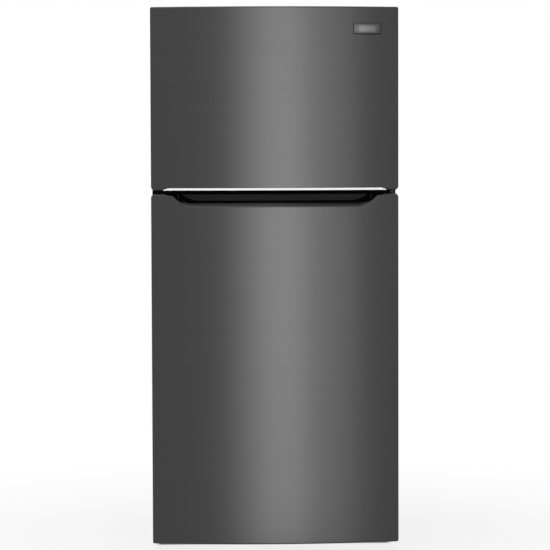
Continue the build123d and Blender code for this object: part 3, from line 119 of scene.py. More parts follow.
class Finish(NodeTree):
    # A Principled material built from patterns on Object coordinates
    def __init__(self, name, fixed):
        self.material = bpy.data.materials.new(name)
        super().__init__(self.material, "ShaderNodeOutputMaterial")
        self.shader = self.tree.nodes.new("ShaderNodeBsdfPrincipled")
        self.tree.links.new(self.shader.outputs[0], self.out.inputs["Surface"])
        for socket, number in fixed.items():
            self.shader.inputs[socket].default_value = number

    def place(self, stretch):
        place = self.node("ShaderNodeTexCoord", {}, {}, "Object")
        return self.node("ShaderNodeMapping", {"vector_type": "POINT"}, {"Vector": place, "Scale": stretch})

    def noise(self, stretch, detail=2.0, rough=0.5):
        return self.node("ShaderNodeTexNoise", {}, {
            "Vector": self.place(stretch), "Scale": 1.0, "Detail": detail, "Roughness": rough})

    def cells(self, stretch, feature="F1", output="Distance"):
        return self.node("ShaderNodeTexVoronoi", {"feature": feature}, {
            "Vector": self.place(stretch), "Scale": 1.0}, output)

    def across(self, axis):
        place = self.node("ShaderNodeTexCoord", {}, {}, "Object")
        return self.node("ShaderNodeSeparateXYZ", {}, {0: place}, axis)

    def marked(self, name):
        return self.node("ShaderNodeAttribute", {"attribute_name": name}, {}, 2)

    def blend(self, share, low, high):
        # The numbers are a Mix node's sockets for colours
        return self.node("ShaderNodeMix", {"data_type": "RGBA"}, {0: share, 6: low, 7: high}, 2)

    def put(self, socket, given):
        self.feed(self.shader.inputs[socket], given)

    def roughen(self, pattern, spread, base):
        self.put("Roughness", pattern * spread + base)

    def raised(self, height, distance, strength):
        self.put("Normal", self.node("ShaderNodeBump", {}, {
            "Strength": strength, "Distance": distance, "Height": height}))


def grey(level):
    return (level, level, level, 1.0)


def even(size):
    return (size, size, size)


# Finishes. A pattern is sized by a stretch of Object coordinates: the larger, the finer

def brushedSteel(name, dark, light, rough, inlay):
    # Horizontal brushing: noise drawn out along X and Y, so that streaks stay level round the bow.
    # A second colour comes in where a piece carries that attribute: painted shade on the food door's bevel, and a
    # painted highlight across the badge's middle
    finish = Finish(name, {"Metallic": 1.0, "Anisotropic": 0.92, "Anisotropic Rotation": 0.25})
    streak = finish.noise((2.5, 2.5, 1100.0), detail=4.0, rough=0.6)
    drift = finish.noise((1.2, 1.2, 60.0))
    colour = finish.blend(streak.mixed(drift, share=0.75), dark, light)
    # Share of the second colour, broken by the streaks: painted shade on the bevel, a painted highlight on the
    # badge
    paintedLightShare = (finish.marked("inlay") * (0.8 + streak * 0.4)).clip()
    finish.put("Base Color", finish.blend(paintedLightShare, colour, inlay))
    finish.roughen(streak, spread=0.08, base=rough)
    finish.raised(streak, distance=0.00004, strength=0.4)
    return finish.material


sideCoat = {"flange": 0.0012, "ramp": 0.00025, "gloss": 0.45, "dip": 0.3}


def pebbledPaint(name, low, high, front, rough, grain):
    # Textured paint: round grains pressed together, with a slow change of shade.
    # The cabinet's front flange is painted near black and dull, as painted shade where it shows in the doors' gap
    finish = Finish(name, {"Specular IOR Level": 0.03, "Coat Roughness": 0.42})
    pebble = finish.cells(even(grain), feature="SMOOTH_F1")
    drift = finish.noise(even(3.0), detail=3.0)
    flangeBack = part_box("cabinet_shell")[0][1] + sideCoat["flange"]
    behind = ((finish.across(1) - flangeBack) / sideCoat["ramp"]).clip()
    finish.put("Base Color", finish.blend(behind, front, finish.blend(drift, low, high)))
    finish.put("Coat Weight", behind * (sideCoat["gloss"] - pebble * sideCoat["dip"]))
    finish.roughen(drift, spread=0.14, base=rough)
    finish.raised(1.0 - pebble, distance=0.0004, strength=0.7)
    return finish.material


def zincSheet(name, low, high, rough):
    # Galvanised sheet: large crystal patches of slightly different grey
    finish = Finish(name, {"Metallic": 0.85})
    patch = finish.cells(even(45.0), output="Color")
    shade = finish.node("ShaderNodeRGBToBW", {}, {0: patch})
    fine = finish.noise(even(600.0))
    finish.put("Base Color", finish.blend(shade.mixed(fine, share=0.7), low, high))
    finish.roughen(shade, spread=0.18, base=rough)
    return finish.material


def moulded(name, low, high, rough, grain=900.0, lift=0.00006, fixed=None, inlay=None):
    # Moulded plastic: fine spark-eroded grain and a faint drift of shade
    finish = Finish(name, fixed or {})
    speck = finish.noise(even(grain), detail=3.0, rough=0.6)
    drift = finish.noise(even(5.0))
    colour = finish.blend(drift.mixed(speck, share=0.7), low, high)
    if inlay:
        colour = finish.blend(finish.marked("inlay"), colour, inlay)
    finish.put("Base Color", colour)
    finish.roughen(speck, spread=0.1, base=rough)
    finish.raised(speck, distance=lift, strength=0.5)
    return finish.material


def pocketPlastic(name, deep, sheen, rough):
    # Black moulding whose trough is painted near black as painted shade, while the wall and the end rib keep a
    # lighter black as painted light, told apart by an attribute
    finish = Finish(name, {"Specular IOR Level": 0.01})
    speck = finish.noise(even(600.0), detail=3.0, rough=0.6)
    litShare = (finish.marked("sheen") * (0.9 + speck * 0.2)).clip()
    finish.put("Base Color", finish.blend(litShare, deep, sheen))
    finish.roughen(speck, spread=0.1, base=rough)
    finish.raised(speck, distance=0.00004, strength=0.5)
    return finish.material


def clearMoulding(name, tint, deep, rough, clear, ior):
    # Clear plastic or glass: a hint of flow marks in the tint and the gloss
    finish = Finish(name, {"Transmission Weight": clear, "IOR": ior})
    flow = finish.noise((9.0, 9.0, 30.0))
    finish.put("Base Color", finish.blend(flow, tint, deep))
    finish.roughen(flow, spread=0.06, base=rough)
    return finish.material


def paintedMetal(name, low, high, rough, metallic):
    # Plain worked metal: rolled streaks and a few darker spots
    finish = Finish(name, {"Metallic": metallic})
    rolled = finish.noise((120.0, 20.0, 120.0), detail=3.0)
    spot = finish.noise(even(70.0), detail=4.0, rough=0.7)
    finish.put("Base Color", finish.blend(rolled.mixed(spot, share=0.5), low, high))
    finish.roughen(spot, spread=0.2, base=rough)
    finish.raised(rolled, distance=0.00003, strength=0.4)
    return finish.material


def cellFoam(name, low, high):
    # Blown foam: closed cells of a few millimetres
    finish = Finish(name, {"Roughness": 0.9})
    cell = finish.cells(even(300.0))
    finish.put("Base Color", finish.blend(cell, low, high))
    finish.raised(cell, distance=0.0008, strength=0.6)
    return finish.material


softGloss = {"Specular IOR Level": 0.20}
dullBlack = {"Specular IOR Level": 0.10}
noGloss = {"Specular IOR Level": 0.02}
finishes = {
    # The steel's second colour darkens the food door's bevel as painted shade; the badge's lightens the plate's
    # middle as a painted highlight
    "steel": brushedSteel("brushedSteel", grey(0.048), grey(0.064), rough=0.33, inlay=grey(0.031)),
    "badge": brushedSteel("badgeMetal", grey(0.062), grey(0.080), rough=0.36, inlay=grey(0.17)),
    "side": pebbledPaint(
        "sidePaint", grey(0.026), grey(0.038), front=grey(0.002), rough=0.40, grain=380.0),
    "zinc": zincSheet("zincSheet", grey(0.42), grey(0.62), rough=0.34),
    "white": moulded("whitePlastic", (0.78, 0.79, 0.79, 1), (0.86, 0.86, 0.85, 1), rough=0.34),
    "grip": moulded("gripPlastic", grey(0.80), grey(0.88), rough=0.40),
    "greyPlastic": moulded("greyPlastic", (0.42, 0.43, 0.44, 1), (0.50, 0.51, 0.52, 1), rough=0.40),
    "black": moulded(
        "blackPlastic", grey(0.004), grey(0.007), rough=0.50, grain=700.0, lift=0.0001, fixed=dullBlack),
    "gloss": moulded(
        "blackGloss", grey(0.003), grey(0.005), rough=0.44, grain=500.0, lift=0.00003, fixed=dullBlack),
    # The trough's grey(0.0004) is painted shade and the wall's grey(0.020) is painted light
    "pocket": pocketPlastic("pocketPlastic", grey(0.0004), grey(0.020), rough=0.45),
    "rim": moulded(
        "rimLacquer", grey(0.004), grey(0.008), rough=0.40, grain=500.0, lift=0.00002, fixed=softGloss),
    # Near black as painted shade for the doors' gap, where the mullion rail and the door caps show
    "mullion": moulded(
        "mullionPaint", grey(0.0015), grey(0.0025), rough=0.60, grain=300.0, lift=0.00003, fixed=noGloss),
    "dial": moulded(
        "dialPlastic", (0.36, 0.37, 0.38, 1), (0.44, 0.45, 0.46, 1), rough=0.36, inlay=grey(0.82)),
    "rubber": moulded(
        "gasketRubber", (0.30, 0.30, 0.31, 1), (0.38, 0.38, 0.39, 1), rough=0.62, grain=1500.0, lift=0.0001),
    "clear": clearMoulding(
        "clearPlastic", (0.98, 0.985, 0.985, 1), (0.95, 0.965, 0.97, 1), rough=0.04, clear=1.0, ior=1.45),
    "glass": clearMoulding(
        "shelfGlass", (0.90, 0.97, 0.94, 1), (0.84, 0.94, 0.90, 1), rough=0.02, clear=1.0, ior=1.52),
    "lens": clearMoulding(
        "lightLens", (0.95, 0.95, 0.93, 1), (0.90, 0.90, 0.87, 1), rough=0.35, clear=0.6, ior=1.49),
    "foam": cellFoam("blownFoam", (0.72, 0.66, 0.48, 1), (0.86, 0.80, 0.62, 1)),
    "aluminium": paintedMetal("rolledAluminium", grey(0.55), grey(0.72), rough=0.32, metallic=1.0),
    "enamel": paintedMetal("blackEnamel", grey(0.010), grey(0.022), rough=0.28, metallic=0.0),
    "hinge": paintedMetal("hingeSteel", grey(0.020), grey(0.036), rough=0.38, metallic=1.0),
    "screw": paintedMetal("screwSteel", grey(0.45), grey(0.60), rough=0.24, metallic=1.0),
}

slotFinish = {
    "dark_steel": "steel", "side_paint": "side", "bare_sheet": "zinc", "black_plastic": "black",
    "black_gloss": "gloss", "white_plastic": "white", "clear_plastic": "clear", "shelf_glass": "glass",
    "gasket_rubber": "rubber", "foam": "foam", "evaporator_aluminium": "aluminium", "black_metal": "enamel",
    "hinge_steel": "hinge", "screw_steel": "screw", "badge_metal": "badge", "grey_plastic": "greyPlastic",
    "light_lens": "lens",
}

# Every CAD node takes the finish of its record slot, but for a few that are painted or moulded otherwise. The
# mullion rail and the door caps, seen in the doors' gap, are painted near black as painted shade
ownFinish = {"freezer_grip": "grip", "mullion_rail": "mullion", "freezer_door_caps": "mullion",
             "food_door_caps": "mullion", "base_frame": "side"}
for row in frame["record"]["subparts"]:
    name = row["node"]
    part = frame["nodes"][name]
    chosen = finishes[ownFinish.get(name, slotFinish[row["material_slot"]])]
    part.data.materials.clear()
    part.data.materials.append(chosen)
print("finishes set", len(finishes))


# Surfaces

def meshPiece(name, points, quads, finish, body, nodes, smooth=True, crease=None):
    # A finished mesh that rides on a body, and stands for the CAD nodes it replaces.
    # Edges that turn by more than the crease stay sharp
    mesh = bpy.data.meshes.new(name)
    mesh.from_pydata(points.reshape(-1, 3), [], quads)
    mesh.polygons.foreach_set("use_smooth", np.full(len(mesh.polygons), smooth))
    mesh.materials.append(finishes[finish])
    mesh.update()
    if crease:
        mesh.set_sharp_from_angle(angle=crease)
    piece = bpy.data.objects.new(name, mesh)
    scene.collection.objects.link(piece)
    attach(piece, body)
    if nodes:
        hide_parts(*nodes)
    return piece


def setMark(piece, name, share):
    # A number for each point, read by the piece's finish
    mark = piece.data.attributes.new(name, "FLOAT", "POINT")
    mark.data.foreach_set("value", np.clip(share, 0.0, 1.0).ravel().astype(np.float32))


def thicken(piece, gauge):
    # A sheet's thickness, laid behind its faces
    sheet = piece.modifiers.new("gauge", "SOLIDIFY")
    sheet.thickness = gauge
    sheet.offset = -1.0
    return piece


def boxCorners(node):
    # A node's lowest and highest corner at rest
    return [np.array(corner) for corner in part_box(node)]


def gridQuads(rows, columns, closeRows=False, closeColumns=False):
    # Quads between neighbours of a grid of points, joined end to start where it closes
    index = np.arange(rows * columns).reshape(rows, columns)
    if closeRows:
        index = np.vstack([index, index[:1]])
    if closeColumns:
        index = np.hstack([index, index[:, :1]])
    corners = index[:-1, :-1], index[:-1, 1:], index[1:, 1:], index[1:, :-1]
    return np.stack([corner.ravel() for corner in corners], axis=1)


def repeatQuads(quads, count, size):
    # The same quads for each of several grids whose points follow one another
    return (quads + np.arange(count)[:, None, None] * size).reshape(-1, 4)


def smoothStep(low, high, x):
    # Nothing below, one above, and a cubic between them that starts and ends level
    share = np.clip((x - low) / (high - low), 0.0, 1.0)
    return share * share * (3.0 - 2.0 * share)


# Door skins

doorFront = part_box("food_door_skin")[0][1]
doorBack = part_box("food_door_skin")[1][1]
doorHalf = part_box("food_door_skin")[1][0]
bowDepth = 0.036
bowRadius = doorHalf**2 / (2 * bowDepth) + bowDepth / 2
skinRound = 0.005
skinGauge = 0.0009


def bowAt(x):
    # The bowed front is an arc about an upright axis far behind the door
    return doorFront + bowRadius - np.sqrt(bowRadius**2 - x**2)


def roundedEdge(x, level, corner, way):
    # Height of the flat face's edge: level along the door, falling along a quarter arc at each end
    radius = corner - skinRound
    inset = np.clip(np.abs(x) - (doorHalf - corner), 0.0, radius)
    return level - way * (skinRound + radius - np.sqrt(radius**2 - inset**2))


def arcHeight(radius, aside):
    # Height of a circle over its middle, at a distance to the side
    return np.sqrt(np.maximum(radius**2 - aside**2, 0.0))


def handleEdge(x, top, spec):
    # The handle's S: floor, arc up, straight slope, arc over into the door's top edge
    across = np.abs(x)
    floor = top - spec["depth"]
    slope = math.atan2(spec["depth"], spec["topHalf"] - spec["floorHalf"])
    lowRun = spec["lowBlend"] * math.tan(slope / 2)
    highRun = spec["highBlend"] * math.tan(slope / 2)
    lowStart = spec["floorHalf"] - lowRun
    lowEnd = spec["floorHalf"] + lowRun * math.cos(slope)
    highStart = spec["topHalf"] - highRun * math.cos(slope)
    highEnd = spec["topHalf"] + highRun
    lowArc = floor + spec["lowBlend"] - arcHeight(spec["lowBlend"], across - lowStart)
    highArc = top - spec["highBlend"] + arcHeight(spec["highBlend"], highEnd - across)
    straight = floor + (across - spec["floorHalf"]) * math.tan(slope)
    return np.select(
        [across < lowStart, across < lowEnd, across < highStart, across < highEnd],
        [floor, lowArc, straight, highArc], top)


def border(grid):
    # A grid's outermost entries, once round
    return np.concatenate([grid[0, :-1], grid[:-1, -1], grid[-1, :0:-1], grid[:0:-1, 0]])


def doorSkin(name, node, body, spec):
    # A grid of upright columns between two edge curves, bent to the bow, with a strip round its rim:
    # a quarter round and a wall, which blend into a cut lip along a handle or a notch
    low, high = (corner[2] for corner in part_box(node))
    steps = np.linspace(-1.0, 1.0, spec["columns"])
    swing = math.pi / 2 * spec["swing"]
    crowded = np.sin(steps * swing) / math.sin(swing)
    x = (doorHalf - skinRound) * (spec["crowd"] * crowded + (1 - spec["crowd"]) * steps)
    lowLip, highLip = spec["lowLip"](x), spec["highLip"](x)
    lowFace = np.maximum(
        roundedEdge(x, low, spec["lowCorner"], -1), spec["lowEdge"](x, low) + spec["lipRound"] * lowLip)
    highFace = np.minimum(
        roundedEdge(x, high, spec["highCorner"], 1), spec["highEdge"](x, high) - spec["lipRound"] * highLip)
    rise = 0.5 - 0.5 * np.cos(np.linspace(0.0, math.pi, spec["rows"]))
    brow = (spec["browLow"] - lowFace[0]) / (highFace[0] - lowFace[0])
    beside = np.array([0.0, brow, brow, 1.0]) + spec["close"] * np.array([1, -1, 1, -1])
    rise = np.unique(np.clip(np.concatenate([rise, beside]), 0.0, 1.0))[:, None]
    z = lowFace + (highFace - lowFace) * rise
    face = np.stack([np.broadcast_to(x, z.shape), z], axis=2)

    rim = border(face)
    side = np.zeros(len(rise) - 1)
    lip = np.concatenate([lowLip[:-1], side, highLip[:0:-1], side])
    along = np.roll(rim, -1, axis=0) - rim
    along /= np.linalg.norm(along, axis=1, keepdims=True)
    ahead = np.stack([along[:, 1], -along[:, 0]], axis=1)
    before = np.roll(ahead, 1, axis=0)
    out = (ahead + before) / (1 + np.sum(ahead * before, axis=1, keepdims=True))  # mitred at corners

    turn = np.linspace(0.0, math.pi / 2, spec["arc"])[1:, None]
    sideWall = np.where(rim[:, 1] > spec["browLow"], spec["browDepth"], spec["wallDepth"])
    upright = smoothStep(*spec["wallTurn"], np.abs(out[:, 0]))
    wall = spec["lipWall"] + (sideWall - spec["lipWall"]) * upright
    reach = np.concatenate([skinRound * np.sin(turn), [[skinRound], [skinRound]]])
    depth = np.concatenate([skinRound * (1 - np.cos(turn)) + 0 * wall, [(skinRound + wall) / 2], [wall]])
    lipReach, lipDepth = (part[:, None] for part in spec["lipProfile"]())
    width = spec["lipWidth"](x)
    width = np.concatenate([width[:-1], side + 1, width[:0:-1], side + 1])
    wallOffset = reach[:, :, None] * out * (1 - lip[:, None])
    lipOffset = lipReach[:, :, None] * out * (lip * width)[:, None]
    back = depth * (1 - lip) + lipDepth * lip

    strip = rim + wallOffset + lipOffset
    flat = np.concatenate([face.reshape(-1, 2), strip.reshape(-1, 2)])
    behind = np.concatenate([np.zeros(z.size), back.ravel()])
    points = np.stack([flat[:, 0], bowAt(flat[:, 0]) + behind, flat[:, 1]], axis=1)
    stripIndex = np.concatenate([border(np.arange(z.size).reshape(z.shape)), z.size + np.arange(back.size)])
    stripQuads = stripIndex[gridQuads(len(reach) + 1, len(rim), closeColumns=True)][:, ::-1]
    quads = np.concatenate([gridQuads(*z.shape), stripQuads])
    piece = meshPiece(name, points, quads, "steel", body, [node])
    # The food door's lip is painted darker towards its back, as painted shade for the bevel's dimmer reflection
    paintedLipShade = smoothStep(0.0, spec["dullOver"], lipDepth / lipDepth.max()) * lip * spec["lipDull"]
    setMark(piece, "inlay", np.concatenate([np.zeros(z.size), paintedLipShade.ravel()]))
    return thicken(piece, skinGauge)


handle = {"depth": 0.0395, "topHalf": 0.316, "floorHalf": 0.277, "lowBlend": 0.048, "highBlend": 0.028,
          "lipFrom": 0.002, "lipTo": 0.022, "bevelDepth": 0.0125, "bevelWidth": 0.0139, "bevelFade": 0.1,
          "bevelReach": [0.05, 0.12, 0.22, 0.5, 0.8, 0.97, 1.0, 1.0, 0.9],
          "bevelBack": [0.02, 0.06, 0.15, 0.45, 0.78, 0.97, 1.03, 1.1, 1.12]}
notch = {"half": 0.343, "slant": 0.0165, "height": 0.007, "lipFrom": -0.002, "lipTo": 0.004,
         "foldRound": 0.0012, "foldDepth": 0.002, "foldStart": 0.0002, "foldTurn": 0.2, "foldSteps": 9}


def plainLip(x):
    return np.zeros_like(x)


def plainWidth(x):
    return np.ones_like(x)


def plainEdge(x, level):
    return np.full_like(x, level)


def lipShare(x, half, spec):
    # One along a cut edge, fading to nothing past its end
    return 1.0 - smoothStep(half + spec["lipFrom"], half + spec["lipTo"], np.abs(x))


def handleLip(x):
    return lipShare(x, handle["topHalf"], handle)


def notchLip(x):
    return lipShare(x, notch["half"], notch)


def bevelWidth(x):
    # The bevel narrows as the S climbs, and ends at the door's top edge
    return smoothStep(handle["bevelFade"], 1.0, -handleEdge(x, 0.0, handle) / handle["depth"])


def bevelProfile():
    # From the cut edge the lip turns over, slopes inwards and back to its crest, then steps back
    reach = handle["bevelWidth"] * np.array(handle["bevelReach"])
    return reach, handle["bevelDepth"] * np.array(handle["bevelBack"])


def notchEdge(x, level):
    # The freezer door's lower edge steps up along a slanted end to the notch
    return level + notch["height"] * np.clip((notch["half"] - np.abs(x)) / notch["slant"], 0.0, 1.0)


def notchProfile():
    # A folded edge: a small round and a short return
    turn = np.linspace(notch["foldTurn"], math.pi / 2, notch["foldSteps"])
    return notch["foldRound"] * np.sin(turn), notch["foldStart"] + notch["foldDepth"] * (1 - np.cos(turn))


# Columns crowd towards the corners, and a row lies close beside each edge to keep it crisp.
# The brow is the top of the freezer door's sides, cut back to clear the top hinge.
# A lip's profile has one point more than the arc
browClear = 0.0013
skinSpec = {"columns": 361, "rows": 35, "arc": 8, "swing": 0.995, "crowd": 0.75, "close": 0.0004,
            "lipRound": 0.0012, "lipWall": 0.008, "wallTurn": (0.5, 0.95), "dullOver": 0.3,
            "browDepth": 0.014, "wallDepth": doorBack - doorFront - bowDepth}
foodSpec = {**skinSpec, "lowCorner": 0.0055, "highCorner": 0.012, "lowLip": plainLip, "highLip": handleLip,
            "lowEdge": plainEdge, "highEdge": lambda x, level: handleEdge(x, level, handle),
            "browLow": math.inf, "lipProfile": bevelProfile, "lipWidth": bevelWidth, "lipDull": 1.0}
freezerSpec = {**skinSpec, "lowCorner": 0.012, "highCorner": 0.006, "lowLip": notchLip, "highLip": plainLip,
               "lowEdge": notchEdge, "highEdge": plainEdge,
               "browLow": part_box("freezer_door_liner")[1][2] + browClear,
               "lipProfile": notchProfile, "lipWidth": plainWidth, "lipDull": 0.0}
doorSkin("foodSkin", "food_door_skin", "food_door", foodSpec)
doorSkin("freezerSkin", "freezer_door_skin", "freezer_door", freezerSpec)
print("door skins made")


# Grip lip: the white channel's front edge, with the notch's pointed ends

gripEdge = {"half": 0.3412, "columns": 241, "rows": 5, "depth": 0.00105, "behind": 0.0008, "gauge": 0.00015}


def gripLip(spec):
    # An upright strip on the bow from the channel's floor to just behind the notch's edge
    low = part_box("freezer_grip")[0][2]
    x, rise = np.meshgrid(
        spec["half"] * np.linspace(-1.0, 1.0, spec["columns"]), np.linspace(0.0, 1.0, spec["rows"]))
    high = np.maximum(notchEdge(x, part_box("freezer_door_skin")[0][2]) + spec["behind"], low)
    points = np.stack([x, bowAt(x) + spec["depth"], low + (high - low) * rise], axis=2)
    piece = meshPiece("gripLip", points, gridQuads(*x.shape), "grip", "freezer_door", [])
    return thicken(piece, spec["gauge"])


gripLip(gripEdge)
print("grip made")


# Finger pocket: a scoop behind the bevel, whose ends rise with the handle's S

pocket = {"half": 0.3295, "columns": 441, "troughSteps": 25, "wallSteps": 15, "front": 0.0146,
          "back": 0.0385, "top": 0.0410, "flange": 0.0434, "drop": 0.016, "endDrop": 0.005, "crest": 0.0131,
          "wallFoot": 0.0185, "wallHalf": 0.229, "wallEnd": 0.2850, "ribAt": 0.2955, "ribHalf": 0.0032,
          "ribFace": 0.0290, "ribSheen": 0.9, "gauge": 0.002, "close": 0.0004}


def pocketScoop(spec):
    # Each upright section runs down behind the bevel, round an elliptic trough and up the leaning wall.
    # The trough's rims and floor follow the S, and the wall's foot climbs a parabola at each end
    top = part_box("handle_pocket")[1][2]
    x = spec["half"] * np.linspace(-1.0, 1.0, spec["columns"])[None, :]
    edge = handleEdge(x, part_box("food_door_skin")[1][2], handle)
    across = np.abs(x)
    inner = smoothStep(spec["wallHalf"], handle["topHalf"], across)
    floor = edge - spec["drop"] + (spec["drop"] - spec["endDrop"]) * inner
    brink = top - spec["close"]
    frontRim = np.minimum(edge + spec["crest"] * bevelWidth(x), brink)
    climb = np.clip((across - spec["wallHalf"]) / (spec["wallEnd"] - spec["wallHalf"]), 0.0, 1.0)
    foot = edge.min() + spec["wallFoot"]
    foot = foot + (brink - foot) * climb**2
    turn = np.linspace(0.0, math.pi, spec["troughSteps"])[:, None]
    share = (1 - np.cos(turn)) / 2
    rims = frontRim * (1 - share) + foot * share
    trough = rims - (rims - np.minimum(floor, rims)) * np.sin(turn)
    up = np.linspace(0.0, 1.0, spec["wallSteps"])[1:, None]
    wall = foot + (top - foot) * up
    z = np.concatenate([trough, wall, np.full((1, spec["columns"]), top)])
    scoop = spec["front"] + (spec["back"] - spec["front"]) * share
    lean = spec["back"] + (spec["top"] - spec["back"]) * up
    depth = np.concatenate([scoop, lean, [[spec["flange"]]]])
    rib = np.sqrt(np.clip(1 - ((across - spec["ribAt"]) / spec["ribHalf"])**2, 0.0, 1.0))
    rib = rib * np.concatenate([np.ones_like(turn), np.ones_like(up), [[0.0]]])
    depth = depth - rib * np.maximum(depth - spec["ribFace"], 0.0)
    points = np.stack([np.broadcast_to(x, z.shape), bowAt(x) + depth, z], axis=2)
    piece = meshPiece(
        "pocketScoop", points, gridQuads(*z.shape), "pocket", "food_door", ["handle_pocket"])
    # The wall and the end rib take the painted light; the trough stays in painted shade
    paintedLitWall = np.concatenate([np.zeros_like(turn), np.ones_like(up), [[1.0]]]) * (across < spec["wallEnd"])
    ribFront = depth >= spec["ribFace"] - spec["close"]
    setMark(piece, "sheen", paintedLitWall + spec["ribSheen"] * rib * ribFront)
    return thicken(piece, spec["gauge"])


pocketScoop(pocket)
print("pocket made")


# Badge: a blank crowned plate in a dark rim, bent to the bow, with a painted highlight across its middle

badge = {"columns": 61, "rows": 31, "height": 0.0019, "crown": 0.5, "belly": 0.0014, "side": 0.0024,
         "bottom": 0.0038, "top": 0.0008, "backing": 0.0003, "paleAcross": (0.35, 0.9),
         "paleUp": (0.25, 0.85), "rimHeight": 0.0022, "rimLift": 0.0001, "rimSteps": 9, "rimSide": 25,
         "rimCrease": 1.2}
plateLow, plateHigh = boxCorners("name_plate")
plateMiddle = (plateLow + plateHigh) / 2
plateHalf = (plateHigh - plateLow) / 2


def badgePlace(u, v, spec):
    # Shares of the plate's half sizes, from its middle; the lower edge bellies down by a parabola
    x = plateMiddle[0] + plateHalf[0] * u
    z = plateMiddle[2] + plateHalf[2] * v - spec["belly"] * (1 - u**2) * (1 - v) / 2
    return x, z


def badgePlate(spec):
    # Height above the door crowns towards the middle, a product of two parabolas;
    # the plate ends half way across its rim
    u, v = np.meshgrid(np.linspace(-1, 1, spec["columns"]), np.linspace(-1, 1, spec["rows"]))
    inU = u * (1 - 0.5 * spec["side"] / plateHalf[0])
    inV = v * (1 - 0.5 * np.where(v < 0, spec["bottom"], spec["top"]) / plateHalf[2])
    x, z = badgePlace(inU, inV, spec)
    lift = spec["height"] * (1 - spec["crown"] + spec["crown"] * (1 - u**2) * (1 - v**2))
    points = np.stack([x, bowAt(x) - lift, z], axis=2)
    piece = meshPiece(
        "badgePlate", points, gridQuads(*x.shape), "badge", "freezer_door", ["name_plate"])
    # The sheen runs level about the bow's axis
    piece.data.use_auto_texspace = False
    piece.data.texspace_location = (0.0, doorFront + bowRadius, 0.0)
    piece.data.texspace_size = even(1.0)
    # The plate's middle is painted lighter, a painted highlight
    paintedHighlightU = 1 - smoothStep(*spec["paleAcross"], np.abs(u))
    paintedHighlightV = 1 - smoothStep(*spec["paleUp"], np.abs(v))
    setMark(piece, "inlay", paintedHighlightU * paintedHighlightV)
    return thicken(piece, spec["backing"])


def badgeRim(spec):
    # A half round carried about the plate's border, broad below and narrow above
    side = np.linspace(-1, 1, spec["rimSide"])[:-1]
    one = np.ones_like(side)
    u = np.concatenate([side, one, -side, -one])[None, :]
    v = np.concatenate([-one, side, one, -side])[None, :]
    inset = np.linspace(0.0, 1.0, spec["rimSteps"])[:, None]
    inU = u * (1 - inset * spec["side"] / plateHalf[0])
    inV = v * (1 - inset * np.where(v < 0, spec["bottom"], spec["top"]) / plateHalf[2])
    x, z = badgePlace(inU, inV, spec)
    lift = spec["rimLift"] + spec["rimHeight"] * np.sqrt(1 - (2 * inset - 1)**2)
    points = np.stack([x, bowAt(x) - lift, z], axis=2)
    quads = gridQuads(*x.shape, closeRows=True, closeColumns=True)
    return meshPiece(
        "badgeRim", points, quads, "rim", "freezer_door", [], crease=spec["rimCrease"])


badgePlate(badge)
badgeRim(badge)
print("badge made")


# Gaskets: a bellows profile carried about each door's inner border

gasket = {"corner": 0.014, "arc": 13,
          "half": [0.0000, 0.0060, 0.0078, 0.0080, 0.0070, 0.0046, 0.0040, 0.0050, 0.0062, 0.0062,
                   0.0050, 0.0042, 0.0050, 0.0072, 0.0080, 0.0080, 0.0076, 0.0060, 0.0000],
          "height": [0.0000, 0.0000, 0.0004, 0.0014, 0.0024, 0.0031, 0.0038, 0.0046, 0.0054, 0.0062,
                     0.0068, 0.0074, 0.0080, 0.0086, 0.0092, 0.0102, 0.0110, 0.0114, 0.0115]}


def roundedLoop(low, high, radius, steps):
    # Four quarter arcs about an upright rectangle, with the outward direction at each point
    quarter = np.arange(4)[:, None] * math.pi / 2
    turn = (np.linspace(0.0, math.pi / 2, steps) + quarter).ravel()
    out = np.stack([np.cos(turn), np.sin(turn)], axis=1)
    sign = np.repeat(np.array([[1, 1], [-1, 1], [-1, -1], [1, -1]]), steps, axis=0)
    middle, half = (low + high) / 2, (high - low) / 2
    return middle + sign * (half - radius) + radius * out, out


def bellows(name, node, body, spec):
    # The profile's half width to either side of the border's middle line, at its height above the door
    low, high = boxCorners(node)
    half, height = np.array(spec["half"]), np.array(spec["height"])
    width = half.max()
    path, out = roundedLoop(low[[0, 2]] + width, high[[0, 2]] - width, spec["corner"], spec["arc"])
    side = np.concatenate([half, -half[-2:0:-1]])[:, None]
    rise = np.concatenate([height, height[-2:0:-1]])[:, None]
    flat = path + side[:, :, None] * out
    points = np.stack([flat[:, :, 0], low[1] + rise + 0 * flat[:, :, 0], flat[:, :, 1]], axis=2)
    quads = gridQuads(len(side), len(path), closeRows=True, closeColumns=True)[:, ::-1]
    return meshPiece(name, points, quads, "rubber", body, [node])


bellows("foodGasket", "food_door_gasket", "food_door", gasket)
bellows("freezerGasket", "freezer_door_gasket", "freezer_door", gasket)
print("gaskets made")


# Temperature dial: a scalloped knob with a finger ridge, and raised marks round it on the housing

dial = {"spokes": 288, "rings": 56, "arc": 8, "radius": 0.020, "thick": 0.012, "round": 0.0022,
        "crown": 0.0008, "ridge": 0.0050, "ridgeHalf": 0.0024, "ridgeFrom": -0.0009, "ridgeTo": 0.0005,
        "ridgeLength": 0.0165, "ridgeEnd": 0.002, "scallops": 24, "scallop": 0.0005, "scallopFrom": 0.75,
        "shaft": 0.004, "pointerHalf": 0.0009, "pointerFrom": 0.006}
tick = {"count": 7, "sweep": 2.2, "at": 0.0240, "long": 0.0032, "wide": 0.0009, "lift": 0.0006, "grid": 9,
        "shaftRoom": 0.0155, "backing": 0.0002}


